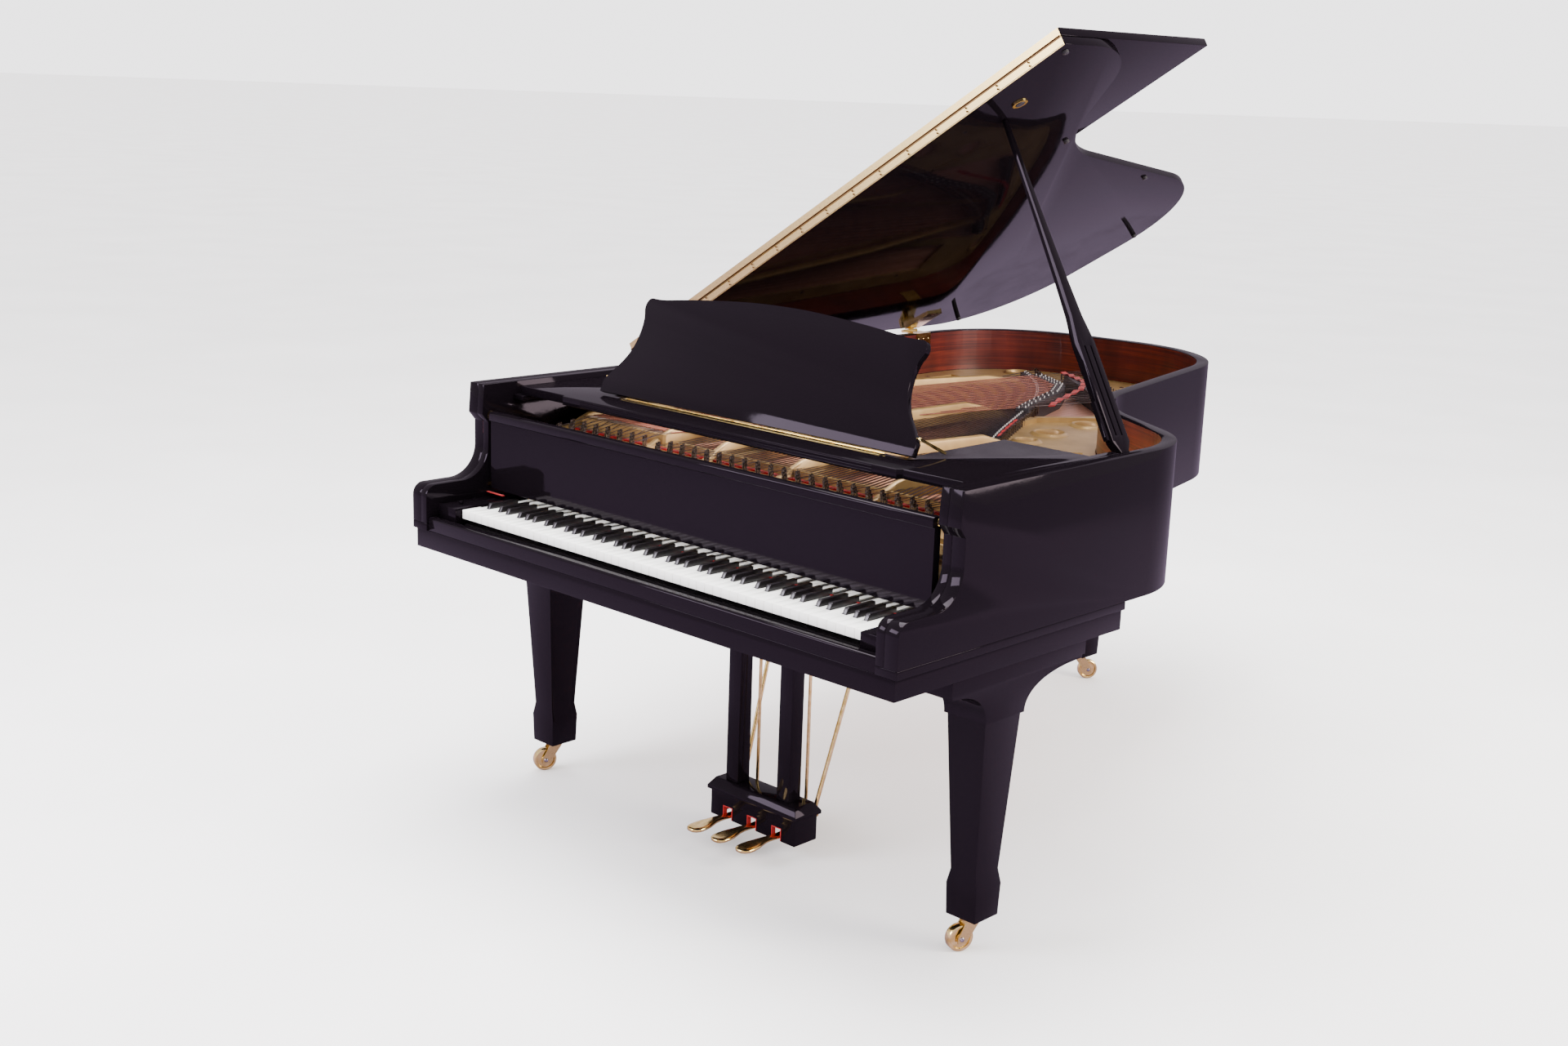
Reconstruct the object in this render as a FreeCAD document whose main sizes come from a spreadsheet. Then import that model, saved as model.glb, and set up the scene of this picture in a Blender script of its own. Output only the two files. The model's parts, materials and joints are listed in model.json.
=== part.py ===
import FreeCAD, Part
import math
import os
from FreeCAD import Placement, Rotation, Vector

# A grand piano, about 2.2 m long, with its lid open.
# X runs to the treble side, Y to the tail and Z up. The origin is on the floor,
# below the middle of the front edge of the white keys. Lengths are in mm, angles in degrees.

doc = FreeCAD.newDocument("grand_piano")
sheet = doc.addObject("Spreadsheet::Sheet", "sizes")

SIZES = {
    # the case, seen from above
    "rim_wall": 32, "side_straight": 743,
    "bend_radius": 250, "bend_heading": 149, "bend_line": 166,
    "waist_radius": 426, "flank_heading": 102.6, "flank_line": 546,
    "tail_radius": 386, "tail_heading": 184.8, "corner_radius": 333,
    # the case, heights
    "rim_top": 987, "rim_bottom": 680, "inner_rim_wall": 44, "inner_rim_bottom": 690,
    "board_height": 845, "board_thick": 8, "belly_setback": 210, "rib_height": 22,
    # the arms beside the keys
    "arm_wall": 52.5, "cheek_inset": 91, "arm_top_front": 115, "arm_step": 917, "arm_chamfer": 20,
    "arm_throat": 127, "arm_cove": 74, "arm_shelf": 768, "arm_nose": -49, "nose_radius": 27,
    # the keybed
    "keybed_inset": 8, "keybed_front": -44, "keybed_depth": 713, "keybed_bottom": 619,
    "keybed_top": 663, "keyslip_height": 31, "keyslip_depth": 22, "side_gap": 1, "block_width": 65.4,
    # the keyboard
    "key_pitch": 23.6, "key_gap": 1, "key_top": 718.6, "key_deep": 20, "head_length": 50,
    "white_visible": 138, "key_length": 380, "sharp_height": 12, "sharp_width": 10.5,
    "key_pivot": 235, "key_dip": 10, "rest_gap": 0.3, "shift_room": 4,
    "hammer_pivot": 262, "hammer_pivot_height": 792, "hammer_strike": 400, "hammer_tip": 844,
    # the fallboard
    "fall_thick": 18, "fall_front": 122, "fall_bottom": 742, "fall_top": 905, "fall_side": 17,
    "lip_height": 20, "lip_deep": 24, "pivot_radius": 5,
    # the strung frame
    "block_front": 182, "block_back": 345, "block_bottom": 838, "block_top": 857,
    "plate_bottom": 858, "plate_thick": 10, "plate_inset": 2, "strut_height": 12,
    "string_height": 889, "bass_height": 900, "pin_top": 898, "string_radius": 0.6, "bass_radius": 1.6,
    # the music desk
    "desk_front": 200, "desk_top": 977, "desk_thick": 20, "desk_side": 16, "wing_width": 228,
    "wing_back": 620, "bar_back": 300, "panel_tilt": 24.7, "panel_thick": 14, "panel_half": 470,
    "panel_height": 263, "panel_axis_y": 296, "desk_pin": 1.5, "strut_foot_y": 388, "strut_rise": 40,
    # the lid
    "lid_angle": 31.7, "lid_gap": 6, "lid_thick": 18, "lid_over": 8, "lid_split": 632,
    "lid_front": 89, "hinge_out": 22, "hinge_pin": 2.2, "knuckle_radius": 4.5,
    "front_hinge_y": 760, "rear_hinge_inset": 77, "hinge_half": 32,
    # the lid prop
    "prop_inset": 38, "prop_in": 18, "prop_lean": 72, "prop_height": 955, "prop_half": 28, "prop_thick": 18,
    "prop_pin": 4, "prop_rest_heading": 140,
    # legs and casters
    "leg_inset": 74.5, "leg_y": 312.5, "tail_leg_side": 511.5, "tail_leg_inset": 205,
    "leg_foot": 78, "leg_floor": 75.5, "leg_foot_top": 144, "leg_waist_x": 64, "leg_waist_y": 72,
    "leg_head_x": 94, "leg_head_y": 112, "head_drop": 115, "head_plate": 42, "wheel_radius": 28.5, "wheel_width": 20,
    "caster_trail": 26, "stem_radius": 5, "axle_radius": 4,
    # the lyre
    "lyre_y": 380, "post_half": 81, "post_size": 38, "box_half": 134, "box_front": 348,
    "box_back": 420, "box_bottom": 35, "box_top": 97, "crown_top": 125, "box_wall": 12,
    "pedal_pitch": 78, "pedal_toe": 228, "pedal_height": 44, "pedal_thick": 10,
    "pedal_axle_y": 396, "pedal_rod_y": 442, "rod_radius": 4,
}
WHITE_KEYS = 52
SIZES["rim_width"] = WHITE_KEYS * SIZES["key_pitch"] + 2 * (
    SIZES["shift_room"] + SIZES["block_width"] + SIZES["side_gap"] + SIZES["arm_wall"])
for row, (alias, value) in enumerate(SIZES.items(), start=1):
    sheet.set(f"A{row}", alias.replace("_", " "))
    sheet.set(f"B{row}", str(value))
    sheet.setAlias(f"B{row}", alias)
doc.recompute()

CLEAR = 0.3          # running gap between pieces that move past each other
BORE_PLAY = 0.05     # how much larger a bore is than its pin, on the radius
STRUT_HALF = 2.7     # half the depth of a music desk strut
STRING_REST = 0.2    # how far a string lies above the bridge or bar that carries it
NODE = {}            # every finished sub-part by name, in the order it is made


def size(alias):
    return float(sheet.get(alias))


def side_room():
    """Half the room between the arms."""
    return size("rim_width") / 2 - size("arm_wall")


def keys_half():
    return WHITE_KEYS / 2 * size("key_pitch")


def cheek_back():
    return size("side_straight") - size("cheek_inset")


def board_front():
    """Front edge of the soundboard, on the belly rail."""
    return cheek_back() - size("belly_setback")


def keep(thing, label):
    thing.Label = label
    NODE[label] = thing
    return thing


def expression(text):
    """Put the sheet's name before each alias in a formula."""
    words = text.replace("(", "( ").replace(")", " )").split()
    return " ".join(f"sizes.{word}" if word in SIZES else word for word in words)


def block(label, low, high):
    """A box between two corners, each coordinate a formula of the sheet's aliases."""
    box = doc.addObject("Part::Box", label)
    for axis, side, start, end in zip("xyz", ("Length", "Width", "Height"), low, high):
        box.setExpression(f"Placement.Base.{axis}", expression(start))
        box.setExpression(side, expression(f"( {end} ) - ( {start} )"))
    return box


def rod(label, radius, height, base, turn=Rotation()):
    """A round bar from base along its own Z, turned by a rotation."""
    bar = doc.addObject("Part::Cylinder", label)
    bar.Placement = Placement(base, turn)
    bar.setExpression("Radius", expression(radius))
    bar.setExpression("Height", expression(height))
    return bar


def group(label, parts):
    """Several separate solids that make one sub-part."""
    compound = doc.addObject("Part::Compound", label)
    compound.Links = parts
    return keep(compound, label)


def made(label, shape, place=Placement()):
    """A shape that neither a primitive nor a sketch gives."""
    feature = doc.addObject("Part::Feature", label)
    feature.Shape = shape
    feature.Placement = place
    return keep(feature, label)


class Pen:
    """Draws lines and tangent arcs, as a template is marked out on a board."""

    def __init__(self, x, y, heading):
        self.x, self.y, self.heading = x, y, heading
        self.strokes = []

    def line(self, length):
        angle = math.radians(self.heading)
        self.line_to(self.x + length * math.cos(angle), self.y + length * math.sin(angle))

    def line_to(self, x, y):
        self.strokes.append(Part.LineSegment(Vector(self.x, self.y, 0), Vector(x, y, 0)))
        self.x, self.y = x, y

    def bend(self, radius, heading):
        side = 1 if heading > self.heading else -1
        points = []
        for turn in (self.heading, (self.heading + heading) / 2, heading):
            old, new = math.radians(self.heading), math.radians(turn)
            points.append(Vector(self.x + side * radius * (math.sin(new) - math.sin(old)),
                                 self.y - side * radius * (math.cos(new) - math.cos(old)), 0))
        self.strokes.append(Part.Arc(*points))
        self.x, self.y, self.heading = points[2].x, points[2].y, heading


def tail_line():
    """The straight at the tail, as long as brings the last corner to the spine."""
    pen = rim_bends(Pen(size("rim_width") / 2, size("side_straight"), 90), 0)
    turn = math.radians(size("tail_heading"))
    corner = size("corner_radius") * (1 + math.sin(turn))
    return (pen.x - corner + size("rim_width") / 2) / -math.cos(turn)


def rim_bends(pen, inset):
    """From the straight treble side round to the start of the tail's straight."""
    pen.bend(size("bend_radius") - inset, size("bend_heading"))
    pen.line(size("bend_line"))
    pen.bend(size("waist_radius") + inset, size("flank_heading"))
    pen.line(size("flank_line"))
    pen.bend(size("tail_radius") - inset, size("tail_heading"))
    return pen


def tail_y():
    """How far the tail reaches: the corner of the last bend where the case runs along X."""
    pen = rim_bends(Pen(size("rim_width") / 2, size("side_straight"), 90), 0)
    turn = math.radians(size("tail_heading"))
    return pen.y + size("tail_radius") * (1 + math.cos(turn))


def spine_end():
    """Where the straight spine meets the corner at the tail."""
    return rim_pen(0, 0).strokes[-1].StartPoint.y


def rim_pen(inset, front):
    """The case outline moved inwards by inset, from the treble front round to the bass front."""
    pen = Pen(size("rim_width") / 2 - inset, front, 90)
    pen.line(size("side_straight") - front)
    rim_bends(pen, inset)
    pen.line(tail_line())
    pen.bend(size("corner_radius") - inset, 270)
    pen.line(pen.y - front)
    return pen


def closed(pen):
    """The strokes with a last line back to where the pen began."""
    start = pen.strokes[0].StartPoint
    pen.line_to(start.x, start.y)
    return pen.strokes


def ring(outer_inset, inner_inset, front):
    """The band between two offsets of the outline, open at the front."""
    outer, inner = rim_pen(outer_inset, front), rim_pen(inner_inset, front)
    strokes = outer.strokes + inner.strokes
    for first, second in ((outer, inner), (inner, outer)):
        here = first.strokes[0].StartPoint if first is outer else Vector(first.x, first.y, 0)
        there = second.strokes[0].StartPoint if first is outer else Vector(second.x, second.y, 0)
        strokes.append(Part.LineSegment(here, there))
    return strokes


def sketch_on(body, role, strokes, start):
    plane = next(item for item in body.Origin.OriginFeatures if item.Role == role)
    sketch = body.newObject("Sketcher::SketchObject", "outline")
    sketch.AttachmentSupport = [(plane, "")]
    sketch.MapMode = "FlatFace"
    sketch.setExpression("AttachmentOffset.Base.z", expression(start))
    sketch.addGeometry(strokes, False)
    return sketch


def pad(label, role, strokes, start, length):
    """A body whose sketch lies at start along the plane's normal, padded by length."""
    body = doc.addObject("PartDesign::Body", label)
    feature = body.newObject("PartDesign::Pad", "pad")
    feature.Profile = sketch_on(body, role, strokes, start)
    feature.setExpression("Length", expression(length))
    body.Tip = feature
    return body


def pocket(body, role, strokes, start, length):
    """Cut the body from start against the plane's normal, and check that it bites."""
    doc.recompute()
    before = body.Shape.Volume
    feature = body.newObject("PartDesign::Pocket", "pocket")
    feature.Profile = sketch_on(body, role, strokes, start)
    feature.setExpression("Length", expression(length))
    body.Tip = feature
    doc.recompute()
    if body.Shape.Volume > before - 1:
        raise RuntimeError(f"a pocket in {body.Label} cuts nothing")


def polygon(points):
    """Strokes through points, closed."""
    ends = points[1:] + points[:1]
    return [Part.LineSegment(Vector(*a, 0), Vector(*b, 0)) for a, b in zip(points, ends)]


def prism(points, low, high, axis="x"):
    """A flat outline swept from low to high along X, or along Z for a plan outline."""
    if axis == "x":
        wire = Part.makePolygon([Vector(low, y, z) for y, z in points + points[:1]])
        return Part.Face(wire).extrude(Vector(high - low, 0, 0))
    wire = Part.makePolygon([Vector(x, y, low) for x, y in points + points[:1]])
    return Part.Face(wire).extrude(Vector(0, 0, high - low))


def solid_box(x, y, z):
    return Part.makeBox(x[1] - x[0], y[1] - y[0], z[1] - z[0], Vector(x[0], y[0], z[0]))


def round_bar(start, end, radius):
    return Part.makeCylinder(radius, (end - start).Length, start, end - start)


def mix(a, b, share):
    return a + (b - a) * share


# ---------------------------------------------------------------- case

def arm_cut():
    """What is cut away in front of the arm: its step, its cove and its rounded nose."""
    far = size("arm_nose") - 60
    top = size("rim_top") + 10
    pen = Pen(far, top, 0)
    pen.line_to(size("arm_top_front") + 1, top)
    pen.line_to(size("arm_top_front") - 5, size("arm_step"))
    pen.line_to(size("arm_throat"), size("arm_step") - size("arm_chamfer"))
    cove_start = size("arm_shelf") + size("arm_cove")
    pen.line_to(size("arm_throat"), cove_start)
    pen.heading = 270
    pen.bend(size("arm_cove"), 180)
    pen.line_to(size("arm_nose") + size("nose_radius"), size("arm_shelf"))
    pen.bend(size("nose_radius"), 270)
    pen.line_to(size("arm_nose"), size("rim_bottom") - 10)
    pen.line_to(far, size("rim_bottom") - 10)
    return closed(pen)


def build_rim():
    rim = pad("outer_rim", "XY_Plane", ring(0, size("rim_wall"), size("arm_nose")),
              "rim_bottom", "rim_top - rim_bottom")
    pocket(rim, "YZ_Plane", arm_cut(), "rim_width / 2 + 5", "rim_width + 10")
    keep(rim, "outer_rim")
    inner = pad("inner_rim", "XY_Plane",
                ring(size("rim_wall"), size("rim_wall") + size("inner_rim_wall"), cheek_back() + 2),
                "inner_rim_bottom", "board_height - inner_rim_bottom")
    keep(inner, "inner_rim")


def build_cheeks():
    """Boards that thicken the arms, with the runners that the music desk slides on."""
    outside = size("rim_width") / 2 - size("rim_wall")
    inside = size("rim_width") / 2 - size("arm_wall")
    face = [(size("arm_nose"), size("rim_bottom")), (cheek_back(), size("rim_bottom")),
            (cheek_back(), size("rim_top")), (size("arm_nose"), size("rim_top"))]
    cutter = Part.Face(Part.Wire([stroke.toShape() for stroke in arm_cut()]))
    cutter.Placement = Placement(Vector(-size("rim_width"), 0, 0), Rotation(Vector(1, 1, 1), 120))
    cutter = cutter.extrude(Vector(2 * size("rim_width"), 0, 0))
    runner_top = size("desk_top") - size("desk_thick") - CLEAR
    solids = []
    for side in (-1, 1):
        low, high = sorted((side * inside, side * outside))
        solids.append(prism(face, low, high).cut(cutter))
        near, far = sorted((side * (inside - 36), side * inside))
        solids.append(solid_box((near, far), (size("desk_front"), cheek_back()),
                                (runner_top - 12, runner_top)))
    made("arm_cheeks", Part.makeCompound(solids))


def build_keybed():
    """Two thick boards: the lower a little narrower, the upper notched for the keyslip."""
    half = size("rim_width") / 2 - size("keybed_inset")
    back = size("keybed_front") + size("keybed_depth")
    lower = solid_box((-half, half), (size("keybed_front"), back), (size("keybed_bottom"), size("keybed_top")))
    half = size("rim_width") / 2
    notch, notch_back = side_room(), size("keybed_front") + size("keyslip_depth") + size("side_gap")
    plan = [(-half, size("arm_nose")), (-notch, size("arm_nose")), (-notch, notch_back), (notch, notch_back),
            (notch, size("arm_nose")), (half, size("arm_nose")), (half, back), (-half, back)]
    upper = prism(plan, size("keybed_top"), size("rim_bottom"), "z")
    made("keybed", Part.makeCompound([lower, upper]))
    slip = block("keyslip_blank", ("0 - rim_width / 2 + arm_wall + side_gap", "keybed_front", "keybed_top"),
                 ("rim_width / 2 - arm_wall - side_gap", "keybed_front + keyslip_depth",
                  "keybed_top + keyslip_height"))
    keep(rounded_top(slip, 5.0), "keyslip")


def rounded_top(blank, radius):
    """The blank with its long top edges rounded."""
    doc.recompute()
    shape = blank.Shape
    edge = doc.addObject("Part::Fillet", "rounded")
    edge.Base = blank
    edge.Edges = [(number, radius, radius) for number, line in enumerate(shape.Edges, start=1)
                  if line.BoundBox.XLength > shape.BoundBox.XLength - 1
                  and line.BoundBox.ZMin > shape.BoundBox.ZMax - 1]
    return edge


def build_key_blocks():
    """Blocks that close the ends of the keyboard, each with the knob of its fixing screw."""
    inner = keys_half() + size("shift_room")
    outer = inner + size("block_width")
    top = size("key_top") + 3.4
    solids = []
    for side in (-1, 1):
        x = sorted((side * inner, side * outer))
        solids.append(solid_box(x, (-16, size("fall_front") + size("lip_deep")), (size("rim_bottom"), top)))
        middle = Vector(side * (inner + outer) / 2, 24, top)
        solids.append(round_bar(middle, middle + Vector(0, 0, 8), 5))
    made("key_blocks", Part.makeCompound(solids))


def build_beams():
    """The belly rail across the case and three back beams from it to the tail."""
    low, high = size("inner_rim_bottom"), size("board_height") - 55
    belly_back = board_front() + 60
    half = side_room()
    beams = [solid_box((-half, half), (board_front(), belly_back), (size("rim_bottom"), size("board_height")))]
    room = inside_face(size("rim_wall") + size("inner_rim_wall") + CLEAR, belly_back, low)
    room = room.extrude(Vector(0, 0, high - low))
    hub = Vector(-0.16 * size("rim_width") / 2, belly_back - 200, low)
    for angle in (62, 88, 112):
        way = Vector(math.cos(math.radians(angle)), math.sin(math.radians(angle)), 0)
        beam = plank(hub, hub + way * 2 * tail_y(), 60, high - low).common(room)
        beams.append(beam.cut(beams[1:]) if beams[1:] else beam)
    made("back_beams", Part.makeCompound([solid for beam in beams for solid in beam.Solids]))


def plank(start, end, width, height):
    """A straight board on its face from start to end, standing on the plane of its ends."""
    way = (end - start).normalize()
    across = Vector(-way.y, way.x, 0) * width / 2
    corners = [start + across, start - across, end - across, end + across]
    return Part.Face(Part.makePolygon(corners + corners[:1])).extrude(Vector(0, 0, height))


# ---------------------------------------------------------------- keyboard and action

FIRST_NOTE, LAST_NOTE = 21, 108
MIDDLE_C = 60
WHITE_STEPS = {0: 0, 2: 1, 4: 2, 5: 3, 7: 4, 9: 5, 11: 6}


def octave_start(note):
    """Left edge of the note's octave."""
    whites_before = 2 + 7 * (note // 12 - 2)
    return whites_before * size("key_pitch") - keys_half()


def key_slot(note):
    """Left edge and width of the key's stick, where all twelve lie side by side."""
    step = note % 12
    pitch = size("key_pitch")
    if step < 5:
        width = 3 * pitch / 5
        return octave_start(note) + step * width, width
    width = 4 * pitch / 7
    return octave_start(note) + 3 * pitch + (step - 5) * width, width


def key_centre(note):
    left, width = key_slot(note)
    return left + width / 2


def white_key(note):
    gap = size("key_gap") / 2
    low, high = size("key_top") - size("key_deep"), size("key_top")
    left = octave_start(note) + WHITE_STEPS[note % 12] * size("key_pitch")
    head = solid_box((left + gap, left + size("key_pitch") - gap), (0, size("head_length")), (low, high))
    slot, width = key_slot(note)
    first = max(slot, left) + gap
    last = min(slot + width, left + size("key_pitch")) - gap
    stick = solid_box((first, last), (size("head_length"), size("key_length")), (low, high))
    return head.fuse(stick).removeSplitter()


def black_key(note):
    """A sharp with a sloped front on a stick as wide as its slot."""
    centre = key_centre(note)
    half = size("sharp_width") / 2
    low, top = size("key_top") - size("key_deep"), size("key_top") + size("sharp_height")
    front, back = size("head_length") + 1, size("white_visible") - 2
    side = [(front, low), (size("key_length"), low), (size("key_length"), size("key_top") - 1),
            (back, size("key_top") - 1), (back, top), (front + 8, top), (front + 1, size("key_top"))]
    return prism(side, centre - half, centre + half)


def hammer(note):
    """Shank and felted head, seen from the side."""
    pivot, height = size("hammer_pivot"), size("hammer_pivot_height")
    strike, tip = size("hammer_strike"), size("hammer_tip")
    side = [(pivot - 5, height - 4), (strike - 10, height - 4), (strike - 10, height - 16),
            (strike + 10, height - 16), (strike + 10, height + 8), (strike + 12, tip - 14),
            (strike, tip), (strike - 12, tip - 14), (strike - 10, height + 4), (pivot, height + 4), (pivot - 5, height)]
    centre = key_centre(note)
    return prism(side, centre - 4.5, centre + 4.5)


def build_keys():
    notes = range(FIRST_NOTE, LAST_NOTE + 1)
    whites = [note for note in notes if note % 12 in WHITE_STEPS and note != MIDDLE_C]
    blacks = [note for note in notes if note % 12 not in WHITE_STEPS and note != MIDDLE_C + 1]
    made("white_keys", Part.makeCompound([white_key(note) for note in whites]))
    made("black_keys", Part.makeCompound([black_key(note) for note in blacks]))
    made("middle_c_key", white_key(MIDDLE_C))
    made("c_sharp_key", black_key(MIDDLE_C + 1))
    made("hammers", Part.makeCompound([hammer(note) for note in notes if note != MIDDLE_C]))
    made("middle_c_hammer", hammer(MIDDLE_C))


def build_key_frame():
    """The frame that carries the keys, with its balance rail and its back rail."""
    half = keys_half() - 1
    low = size("rim_bottom") + CLEAR
    under_keys = size("key_top") - size("key_deep") - size("rest_gap")
    base_top = under_keys - size("key_dip") - 2
    solids = [solid_box((-half, half), (6, size("key_length") + 8), (low, base_top))]
    for start, end in ((size("key_pivot") - 5, size("key_pivot") + 5), (size("key_length") - 30, size("key_length"))):
        solids.append(solid_box((-half, half), (start, end), (base_top, under_keys)))
    made("key_frame", Part.makeCompound(solids))


def build_action_rails():
    """The rail that the hammers hang on and the brackets that hold it up at both ends."""
    half = keys_half() + 1
    back = size("hammer_pivot") - 5 - CLEAR
    height = size("hammer_pivot_height")
    solids = [solid_box((-half, half), (back - 20, back), (height - 12, height + 8))]
    base = size("rim_bottom") + CLEAR
    for side in (-1, 1):
        x = sorted((side * half, side * (half + 12)))
        side_view = [(190, base), (390, base), (390, base + 20), (back + 8, height - 30),
                     (back + 8, height + 8), (back - 28, height + 8), (back - 28, height - 30), (190, base + 20)]
        solids.append(prism(side_view, x[0], x[1]))
    made("action_rails", Part.makeCompound(solids))


# ---------------------------------------------------------------- fallboard

def build_fallboard():
    """The panel over the keys, its lip, and the pins and stops it turns and rests on."""
    front, back = size("fall_front"), size("fall_front") + size("fall_thick")
    inner = side_room()
    half = inner - size("fall_side")
    axis_y, axis_z = (front + back) / 2, size("fall_bottom") + size("fall_thick") / 2
    panel = solid_box((-half, half), (front, back), (size("fall_bottom"), size("fall_top")))
    panel = panel.makeFillet(3, [edge for edge in panel.Edges if abs(edge.Length - 2 * half) < 1])
    pins = []
    for side in (-1, 1):
        seat = Vector(side * inner, axis_y, axis_z)
        pins.append(round_bar(seat, Vector(side * (half - 14), axis_y, axis_z), size("pivot_radius")))
        panel = panel.cut(round_bar(Vector(side * (half + 1), axis_y, axis_z), Vector(side * (half - 15), axis_y, axis_z),
                                    size("pivot_radius") + BORE_PLAY))
        stop = Vector(side * inner, front + 13, size("fall_top") + 8)
        pins.append(round_bar(stop, Vector(side * (half + 2), stop.y, stop.z), 10))
    made("fallboard", panel)
    lip = block("lip_blank", ("0 - rim_width / 2 + arm_wall + fall_side", "fall_front + fall_thick - lip_deep",
                              "fall_top"),
                ("rim_width / 2 - arm_wall - fall_side", "fall_front + fall_thick", "fall_top + lip_height"))
    keep(rounded_top(lip, 6.0), "fallboard_lip")
    made("fallboard_pivots", Part.makeCompound(pins))


# ---------------------------------------------------------------- strung frame

def string_ends():
    """Front and hitch points of the plain strings and of the bass strings, in plan."""
    front = size("block_back") + 6
    tail = tail_y()
    span = tail - front
    wide = side_room()
    hitch = [(0.877, 0.084), (-0.029, 0.311), (0.088, 0.65), (-0.687, 0.899)]
    curve = Part.BezierCurve()
    curve.setPoles([Vector(x * wide, front + y * span, 0) for x, y in hitch])
    plain = [(Vector(mix(0.892, -0.395, index / 67) * wide, front, 0), curve.value(index / 67))
             for index in range(68)]
    bass = [(Vector(mix(-0.482, -0.878, index / 19) * wide, front, 0),
             Vector(mix(0.058, -0.482, index / 19) * wide, front + mix(0.745, 0.922, index / 19) * span, 0))
            for index in range(20)]
    return plain, bass


def build_strings():
    plain, bass = string_ends()
    rows = (("plain_strings", plain, size("string_height"), size("string_radius")),
            ("bass_strings", bass, size("bass_height"), size("bass_radius")))
    for label, ends, height, radius in rows:
        lift = Vector(0, 0, height)
        made(label, Part.makeCompound([round_bar(start + lift, end + lift, radius) for start, end in ends]))


def build_pins():
    """Tuning pins in the pin block, in three rows of pairs."""
    pins = []
    plain, bass = string_ends()
    starts = [start.x for start, _end in plain + bass]
    half_pitch = (starts[0] - starts[1]) / 2
    for index, x in enumerate(starts):
        for row in range(2):
            y = size("block_back") - 30 - 26 * (index % 3) - 12 * row
            foot = Vector(x + half_pitch * row, y, size("plate_bottom") + size("plate_thick"))
            pins.append(round_bar(foot, Vector(foot.x, foot.y, size("pin_top")), 3.4))
    made("tuning_pins", Part.makeCompound(pins))


def build_pin_block():
    beam = block("pin_block", ("0 - ( rim_width / 2 - arm_wall )", "block_front", "block_bottom"),
                 ("rim_width / 2 - arm_wall", "block_back", "block_top"))
    keep(beam, "pin_block")


def inside_face(inset, front, height):
    face = Part.Face(Part.Wire([stroke.toShape() for stroke in closed(rim_pen(inset, front))]))
    face.translate(Vector(0, 0, height))
    return face


def build_soundboard():
    """The board inside the rim and between the cheeks, with its ribs below."""
    half, back = side_room() - 1, cheek_back() + 2
    pen = rim_pen(size("rim_wall") + 0.5, back)
    for x, y in ((-half, back), (-half, board_front()), (half, board_front()), (half, back)):
        pen.line_to(x, y)
    keep(pad("soundboard", "XY_Plane", closed(pen), "board_height", "board_thick"), "soundboard")
    height = size("rib_height")
    room = inside_face(size("rim_wall") + size("inner_rim_wall") + 1, back + 8, size("board_height") - height)
    room = room.extrude(Vector(0, 0, height)).cut(NODE["back_beams"].Shape)
    ribs = []
    for index in range(9):
        start = Vector(-size("rim_width") / 2, 760 + index * 150, size("board_height") - height)
        rib = plank(start, start + Vector(1, 0.45, 0) * size("rim_width") * 2, 22, height)
        ribs.extend(rib.common(room).Solids)
    made("soundboard_ribs", Part.makeCompound(ribs))


def bridge(ends, back, half_width, base, top):
    """A curved bar that crosses every string at the same distance from its hitch end."""
    middle = [end - (end - start).normalize() * back for start, end in ends]
    sides = []
    for offset in (half_width, -half_width):
        side = []
        for index, point in enumerate(middle):
            way = (middle[min(index + 1, len(middle) - 1)] - middle[max(index - 1, 0)]).normalize()
            side.append(point + Vector(-way.y, way.x, 0) * offset)
        sides.append(side[:-1:6] + side[-1:])
    edges = [Part.makeLine(sides[0][end], sides[1][end]) for end in (0, -1)]
    for side in sides:
        spline = Part.BSplineCurve()
        spline.interpolate(side)
        edges.append(spline.toShape())
    face = Part.Face(Part.Wire(Part.sortEdges(edges)[0]))
    face.translate(Vector(0, 0, base))
    return face.extrude(Vector(0, 0, top - base))


def build_bridges():
    """The long bridge along the hitch curve and the bass bridge, notched where the plate's struts pass."""
    base = size("board_height") + size("board_thick")
    plain, bass = string_ends()
    long_top = size("string_height") - size("string_radius") - STRING_REST
    bass_top = size("bass_height") - size("bass_radius") - STRING_REST
    notches = struts(28, base - 1, bass_top + 1)
    long_bridge = bridge(plain, 60, 14, base, long_top)
    bass_bridge = bridge(bass, 70, 14, base, bass_top).cut(bridge(plain, 60, 16, base, bass_top))
    whole = [long_bridge.cut(notches), bass_bridge.cut(notches)]
    made("bridges", Part.makeCompound([solid for part in whole for solid in part.Solids]))


def struts(width, low, high):
    """Bars of the plate below the strings, from the string bar to the web past the hitch ends."""
    plain, bass = string_ends()
    bars = []
    for start, end in (plain[0], plain[22], plain[38], plain[56], bass[19]):
        foot = start + Vector(9, 0, low)
        bars.append(plank(foot, foot + (end - start) * 1.02, width, high - low))
    return bars


def string_window(ends, low, high):
    """The opening in the plate under a fan of strings, up to a short way before their hitch ends."""
    lap, side = 12, Vector(24, 0, 0)
    far = [end - (end - start).normalize() * lap for start, end in ends[::4] + ends[-1:]]
    corners = [ends[0][0] + side, far[0] + side, *far, far[-1] - side, ends[-1][0] - side]
    corners.append(corners[0])
    face = Part.Face(Part.makePolygon(corners))
    face.translate(Vector(0, 0, low))
    return face.extrude(Vector(0, 0, high - low))


# holes as (x, y, radius), ridges as pairs of points, and the bay beside the bass strings
PLATE_HOLES = ((293, 943, 33), (138, 1112, 26), (113, 1240, 36), (104, 1414, 34), (-545, 1985, 32))
PLATE_RIDGES = (((172, 968), (215, 948)), ((211, 948), (335, 1062)),
                ((-14, 1352), (20, 1400)), ((16, 1396), (110, 1505)))
PLATE_BAY = ((-643, 600), (-608, 600), (-470, 1440), (-505, 1790), (-643, 1790))


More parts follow.
